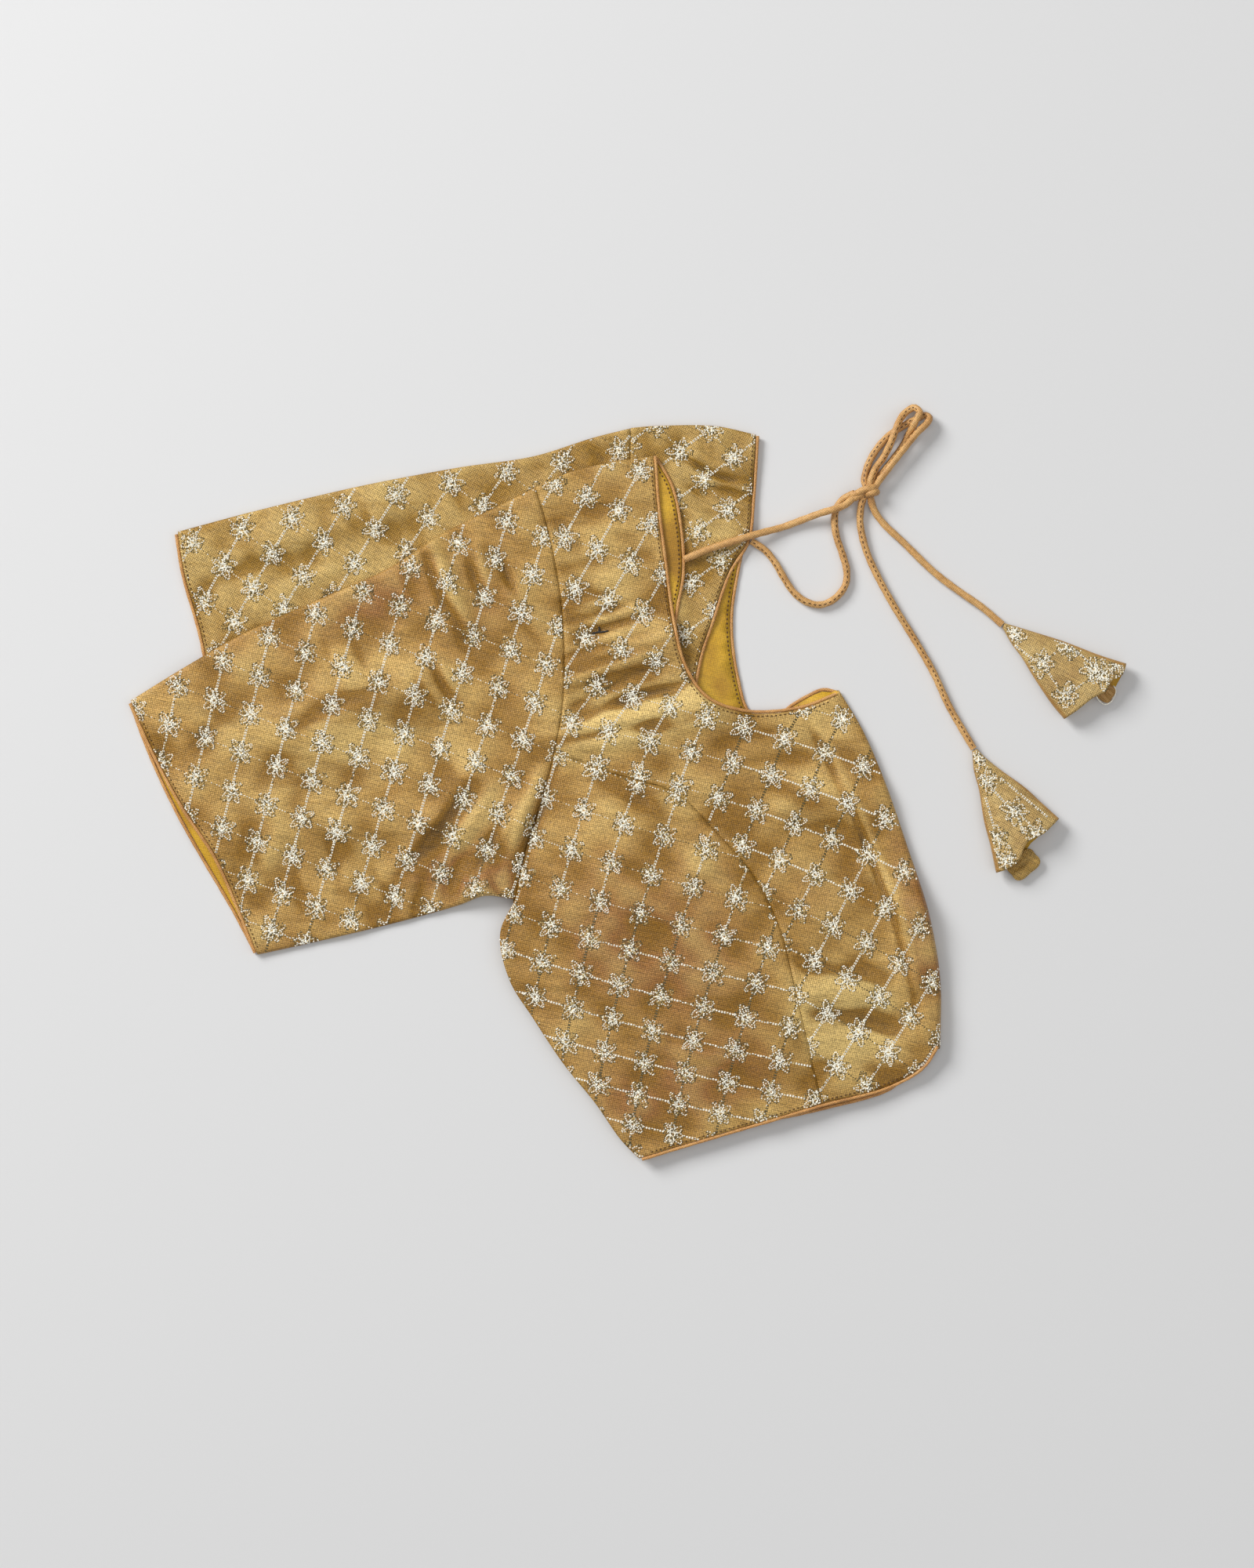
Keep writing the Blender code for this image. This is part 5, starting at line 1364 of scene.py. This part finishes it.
def edge_rows(edge, offset, step=2.4, long=1.8):
    """A running stitch beside an edge."""
    points = edge_points(edge, 0.8)
    points = points + right_of(ways_along(points)) * offset
    at = np.r_[0, np.cumsum(np.linalg.norm(np.diff(points, axis=0), axis=1))]
    first = np.arange(3.0, at[-1] - 7.0, step)
    ends = [np.column_stack([np.interp(first + d, at, points[:, k]) for k in range(2)]) for d in (0, long)]
    return np.column_stack([*ends, np.zeros(len(first))])


def edge_stitches(clothes, looks):
    """The stitching that holds each binding, on the silk and, where it shows, on the lining."""
    near = [tree_of(clothes[k]) for k in ("front_centre", "front_side_near", "sleeve_near")]
    thread, beside, back_tree = [looks["thread"]], TRIM_WIDTH + 1.5, [tree_of(clothes["back"])]
    for name, host, edges, skin, covers in (
        ("front_centre_topstitch", "front_centre", [NECK_FRONT_NEAR, HEM_FRONT_NEAR], 0, ()),
        ("front_side_near_topstitch", "front_side_near", [HEM_FRONT_NEAR], 0, ()),
        ("sleeve_near_topstitch", "sleeve_near", [CUFF_NEAR[::-1]], 0, ()),
        ("sleeve_far_topstitch", "sleeve_far", [CUFF_FAR[::-1]], 0, near),
        ("back_topstitch", "back", [NECK_BACK_FAR], 0, near),
        ("back_lining_topstitch", "back", [NECK_BACK_NEAR], 1, near[:1]),
        ("front_centre_lining_topstitch", "front_centre", [NECK_FRONT_FAR[:-2]], 1, back_tree),
    ):
        rows = np.vstack([edge_rows(edge, beside) for edge in edges])
        stitch_mesh(name, rows, clothes[host], thread, covers, skin, 1, 0.8 + 0.3 * skin)


def embroidery(clothes, looks):
    """The flower lattice, sewn on each piece of cloth whose outside shows."""
    near = [tree_of(clothes[k]) for k in ("front_centre", "front_side_near", "sleeve_near")]
    made = {}
    for name, lattice in LATTICES.items():
        host = clothes[name]
        box = np.array([v.co[:2] for v in host.data.vertices]) / MM
        half = "far" if name in ("sleeve_far", "back") else "near"
        rows = lattice_stitches(lattice, box.min(0), box.max(0), half)
        covers = near if half == "far" else ()
        made[name] = stitch_mesh(f"{name}_zari", rows, host, zari_tones(looks), covers)
    return made


def zari_tones(looks):
    return [looks["zari_bright"], looks["zari_gold"], looks["zari_dark"]]


def flower_rows(centre, up, size=1.0, lit=1.0):
    """One flower's stitches about a centre, with its chain line along up."""
    left = np.array([-up[1], up[0]])
    rows = []
    for x0, y0, x1, y1, tone in flower(lit):
        a = centre + (up * x0 + left * y0) * size
        b = centre + (up * x1 + left * y1) * size
        rows.append((*a, *b, tone))
    return rows


def chain_rows(start, end, bright, in_shade=False):
    """A braid of two slanted rows of stitches from one point to another. In a chain in shade, the stitches
    that are not bright are all dark and full width: painted shade on the metal thread.
    """
    way = end - start
    long = np.linalg.norm(way)
    way = way / long
    across = np.array([-way[1], way[0]])
    step, spread, slant = CHAIN["step"], CHAIN["spread"], CHAIN["slant"]
    rows = []
    for k in range(int(long / step)):
        if k % 2:
            rows.append((*(start + way * k * step), *(start + way * (k + 0.9) * step), 2 + SLIM))
        for side in (1, -1):
            a = start + way * k * step + across * side * spread * (1 + slant)
            b = start + way * (k + 0.95) * step + across * side * spread * (1 - slant)
            tone = 0 if rng.random() < bright else 2 if in_shade else rng.choice((1, 2, 2))
            rows.append((*a, *b, tone if in_shade and tone == 2 else tone + SLIM))
    return rows


def latkan(name, shape, looks):
    """A square of the silk wrapped into a cone, with satin along its wrapped edges, hollow at its mouth."""
    left, right = (smooth_curve(shape[side], LATKAN_RINGS) for side in ("left", "right"))
    axis = (left[-1] + right[-1] - left[0] - right[0]) / 2
    long = np.linalg.norm(axis)
    axis /= long
    places, reaches = np.array(shape["mouth"]).T
    at, spread, cut = shape["cut"]
    steps = np.linspace(0, 1, len(left))
    bm = bmesh.new()

    def ring(t, inset):
        a, b = (np.array([np.interp(t, steps, side[:, c]) for c in range(2)]) for side in (left, right))
        wide = np.linalg.norm(b - a)
        height = LATKAN_HEIGHT["apex"] + (LATKAN_HEIGHT["mouth"] - LATKAN_HEIGHT["apex"]) * t**0.8
        rows = []
        for i in range(LATKAN_SIDES):
            angle = 2 * math.pi * i / LATKAN_SIDES
            share = 0.5 - math.cos(angle) * (0.5 - inset / wide)
            rise = math.copysign(abs(math.sin(angle)) ** 0.7, math.sin(angle))
            reach = float(np.interp(share, places, reaches))
            if rise > 0:
                reach -= cut * math.exp(-(((share - at) / spread) ** 2)) * min(1, rise * 1.5)
            dent = 0.5 * math.sin(9 * share + 5 * t) * t + 0.25 * math.sin(23 * share - 11 * t) * t
            z = height / 2 + rise * (height / 2 - inset + (dent if rise > 0 else 0))
            p = a + (b - a) * share + axis * reach * t**4
            rows.append(bm.verts.new((p[0], p[1], z)))
        return rows

    deep = LATKAN_DEEP / long
    stations = [(t, 0) for t in steps] + [(t, CLOTH) for t in np.linspace(1, 1 - deep, 8)]
    rings = [ring(t, inset) for t, inset in stations]
    border = 0.5 * (1 - math.cos(math.pi / LATKAN_SIDES))
    for k, (a, b) in enumerate(zip(rings, rings[1:])):
        for i in range(LATKAN_SIDES):
            j = (i + 1) % LATKAN_SIDES
            share = 0.5 - 0.5 * math.cos(2 * math.pi * (i + 0.5) / LATKAN_SIDES)
            edge = min(share, 1 - share) < LATKAN_BORDER + border or k == LATKAN_RINGS
            skin = 2 if k > LATKAN_RINGS else 1 if edge else 0
            bm.faces.new([a[i], a[j], b[j], b[i]]).material_index = skin
    for cap, skin in ((rings[0], 0), (rings[-1], 2)):
        hub = bm.verts.new(sum((v.co for v in cap), Vector()) / LATKAN_SIDES)
        for i in range(LATKAN_SIDES):
            bm.faces.new([hub, cap[i], cap[(i + 1) % LATKAN_SIDES]]).material_index = skin
    body = finish_piece(f"{name}_cloth", bm, [looks["silk_cone"], looks["satin"], looks["lining"]], [name])

    centre, halves, turn, high = shape["tab"]
    c, s = math.cos(math.radians(turn)), math.sin(math.radians(turn))
    bm = bmesh.new()
    bmesh.ops.create_uvsphere(bm, u_segments=40, v_segments=20, radius=1.0)
    for v in bm.verts:
        u, w = v.co.x, v.co.y
        square = 1 + 0.10 * math.cos(4 * math.atan2(w, u) + math.pi)
        crease = 0.8 * math.exp(-(((w + 0.25 * u) / 0.16) ** 2))
        crease += 0.5 * math.exp(-(((w - 0.55) / 0.14) ** 2))
        x, y = u * halves[0] * square, w * halves[1] * square
        z = TAB_RISE + high / 2 + v.co.z * high / 2 - (crease if v.co.z > 0.1 else 0)
        v.co = (centre[0] + x * c - y * s, centre[1] + x * s + y * c, max(z, TAB_RISE))
    tab = finish_piece(f"{name}_tab_cloth", bm, [looks[shape["tab_cloth"]]], [f"{name}_tab"])

    rows = []
    for spot in shape["flowers"]:
        turned = math.radians(shape["up"]) + rng.uniform(-0.1, 0.1)
        rows += flower_rows(np.array(spot), np.array([math.cos(turned), math.sin(turned)]), 1.04)
    for start, end in shape["chains"]:
        rows += chain_rows(np.array(start), np.array(end), 0.85)
    sewn = stitch_mesh(f"{name}_zari", rows, body, zari_tones(looks))
    return [body, tab, sewn]


def strand(bm, path, radius, sides=KNOT_SIDES):
    """Adds a round strand along a route to a mesh."""
    side, up = frames_along(path)
    angles = np.linspace(0, 2 * math.pi, sides, endpoint=False)
    tube(bm, [
        [p + (a * math.cos(g) + b * math.sin(g)) * radius * (1 + 0.03 * math.sin(i * 1.1)) for g in angles]
        for i, (p, a, b) in enumerate(zip(path, side, up))
    ])


def knot(looks):
    """Two turns of cord round the others, and the strand that leads up into them."""
    bm = bmesh.new()
    c, s = math.cos(math.radians(KNOT_TURN)), math.sin(math.radians(KNOT_TURN))
    bundle = np.array([-s, c, 0])
    for place, turn, radius in KNOT_WRAPS:
        rings = []
        for g in np.linspace(0, 2 * math.pi, KNOT_STEPS, endpoint=False):
            out = np.array([math.cos(g) * c, math.cos(g) * s, math.sin(g)])
            middle = np.array(KNOT_CENTRE) + bundle * place + out * turn
            rings.append([
                bm.verts.new(middle + (out * math.cos(h) + bundle * math.sin(h)) * radius)
                for h in np.linspace(0, 2 * math.pi, KNOT_SIDES, endpoint=False)
            ])
        for a, b in zip(rings, rings[1:] + rings[:1]):
            join_rings(bm, a, b)
    for route in (KNOT_LEAD, KNOT_TAIL):
        strand(bm, smooth_curve(route, 16), CORD_DIAMETER / 2 * 0.96)
    return finish_piece("knot_cord", bm, [looks["cord"]], ["knot"], 60)


def loose_threads(clothes, stack, looks):
    """The black tack in the strap and the pale loop of thread at the first latkan's mouth."""
    tree = tree_of(clothes["front_centre"])
    bm = bmesh.new()
    for route in TACK:
        plan = smooth_curve(route, 12)
        path = []
        for x, y in plan:
            hit = tree.ray_cast(Vector((x * MM, y * MM, RAY_START)), Vector((0, 0, -1)))[0]
            path.append((x, y, hit.z / MM + 0.45))
        strand(bm, np.array(path), TACK_RADIUS, 8)
    tack = finish_piece("front_centre_tack", bm, [looks["tack"]], ())
    bm = bmesh.new()
    strand(bm, smooth_curve(LATKAN_LOOP, 30), LOOP_RADIUS, 8)
    return tack, finish_piece("latkan_one_thread", bm, [looks["zari_bright"]], ())


def stage():
    floor = bpy.data.meshes.new("floor")
    r = FLOOR["half"]
    floor.from_pydata([(-r, -r, 0), (r, -r, 0), (r, r, 0), (-r, r, 0)], [], [(0, 1, 2, 3)])
    made, tree, shader = new_material("floor")
    grain = node(tree, "ShaderNodeTexNoise", Scale=3.0, Detail=2.0)
    tones = node(tree, "ShaderNodeValToRGB")
    for element, tone in zip(tones.color_ramp.elements, FLOOR["tones"]):
        element.color = (tone, tone, tone, 1)
    tree.links.new(grain.outputs["Fac"], tones.inputs["Fac"])
    tree.links.new(tones.outputs["Color"], shader.inputs["Base Color"])
    shader.inputs["Roughness"].default_value = 0.8
    floor.materials.append(made)
    plane = bpy.data.objects.new("floor", floor)
    plane.location.z = FLOOR["z"]
    bpy.context.collection.objects.link(plane)

    camera = bpy.data.cameras.new("camera")
    camera.lens = CAMERA["lens"]
    camera.sensor_width = CAMERA["sensor"]
    camera.sensor_fit = "AUTO"
    holder = bpy.data.objects.new("camera", camera)
    high = CAMERA["view"] * CAMERA["lens"] / CAMERA["sensor"] + CAMERA["cloth"]
    holder.location = (CAMERA["x"], CAMERA["y"], high)
    bpy.context.collection.objects.link(holder)
    bpy.context.scene.camera = holder

    for name, (place, size, energy) in LIGHTS.items():
        lamp = bpy.data.lights.new(name, "AREA")
        lamp.shape = "SQUARE"
        lamp.size = size
        lamp.energy = energy
        made = bpy.data.objects.new(name, lamp)
        made.location = place
        made.rotation_euler = (Vector((0.02, 0, 0)) - Vector(place)).to_track_quat("-Z", "Y").to_euler()
        bpy.context.collection.objects.link(made)
    world = bpy.data.worlds.new("world")
    world.use_nodes = True
    background = world.node_tree.nodes["Background"]
    background.inputs["Color"].default_value = (1, 1, 1, 1)
    background.inputs["Strength"].default_value = WORLD_LIGHT
    bpy.context.scene.world = world
    bpy.context.scene.view_settings.view_transform = "Standard"


def declare(trims, sewn, lines, knot_piece, hung):
    """Collects, for each cord, the pieces held on it and, for each cloth, its bound edges and embroidery,
    and does nothing more with them.
    """
    for name, (piece, path) in lines.items():
        held = hung.get(name, [knot_piece] if name == "dori_near" else [])
    for name, (flat, area, held, rests_on) in CUTS.items():
        own = [piece for key, piece in trims.items() if TRIM_HOSTS[key] == name]
        own += [sewn[name]] if name in sewn else []


def main():
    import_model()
    looks = make_materials()
    stage()
    stack = Stack()
    lines = cords(looks)
    centre, side_near, side_far = front(stack, looks)
    sleeve_near, sleeve_far = sleeves(stack, looks)
    clothes = {
        "front_centre": centre, "front_side_near": side_near, "front_side_far": side_far,
        "back": back(stack, looks), "sleeve_near": sleeve_near, "sleeve_far": sleeve_far,
    }
    trims = pipings(stack, looks)
    sewn = embroidery(clothes, looks)
    edge_stitches(clothes, looks)
    _, loop = loose_threads(clothes, stack, looks)
    tie = knot(looks)
    hung = {f"tail_{k}": latkan(f"latkan_{k}", LATKANS[f"latkan_{k}"], looks) for k in ("one", "two")}
    hung["tail_one"].append(loop)
    declare(trims, sewn, lines, tie, hung)


main()
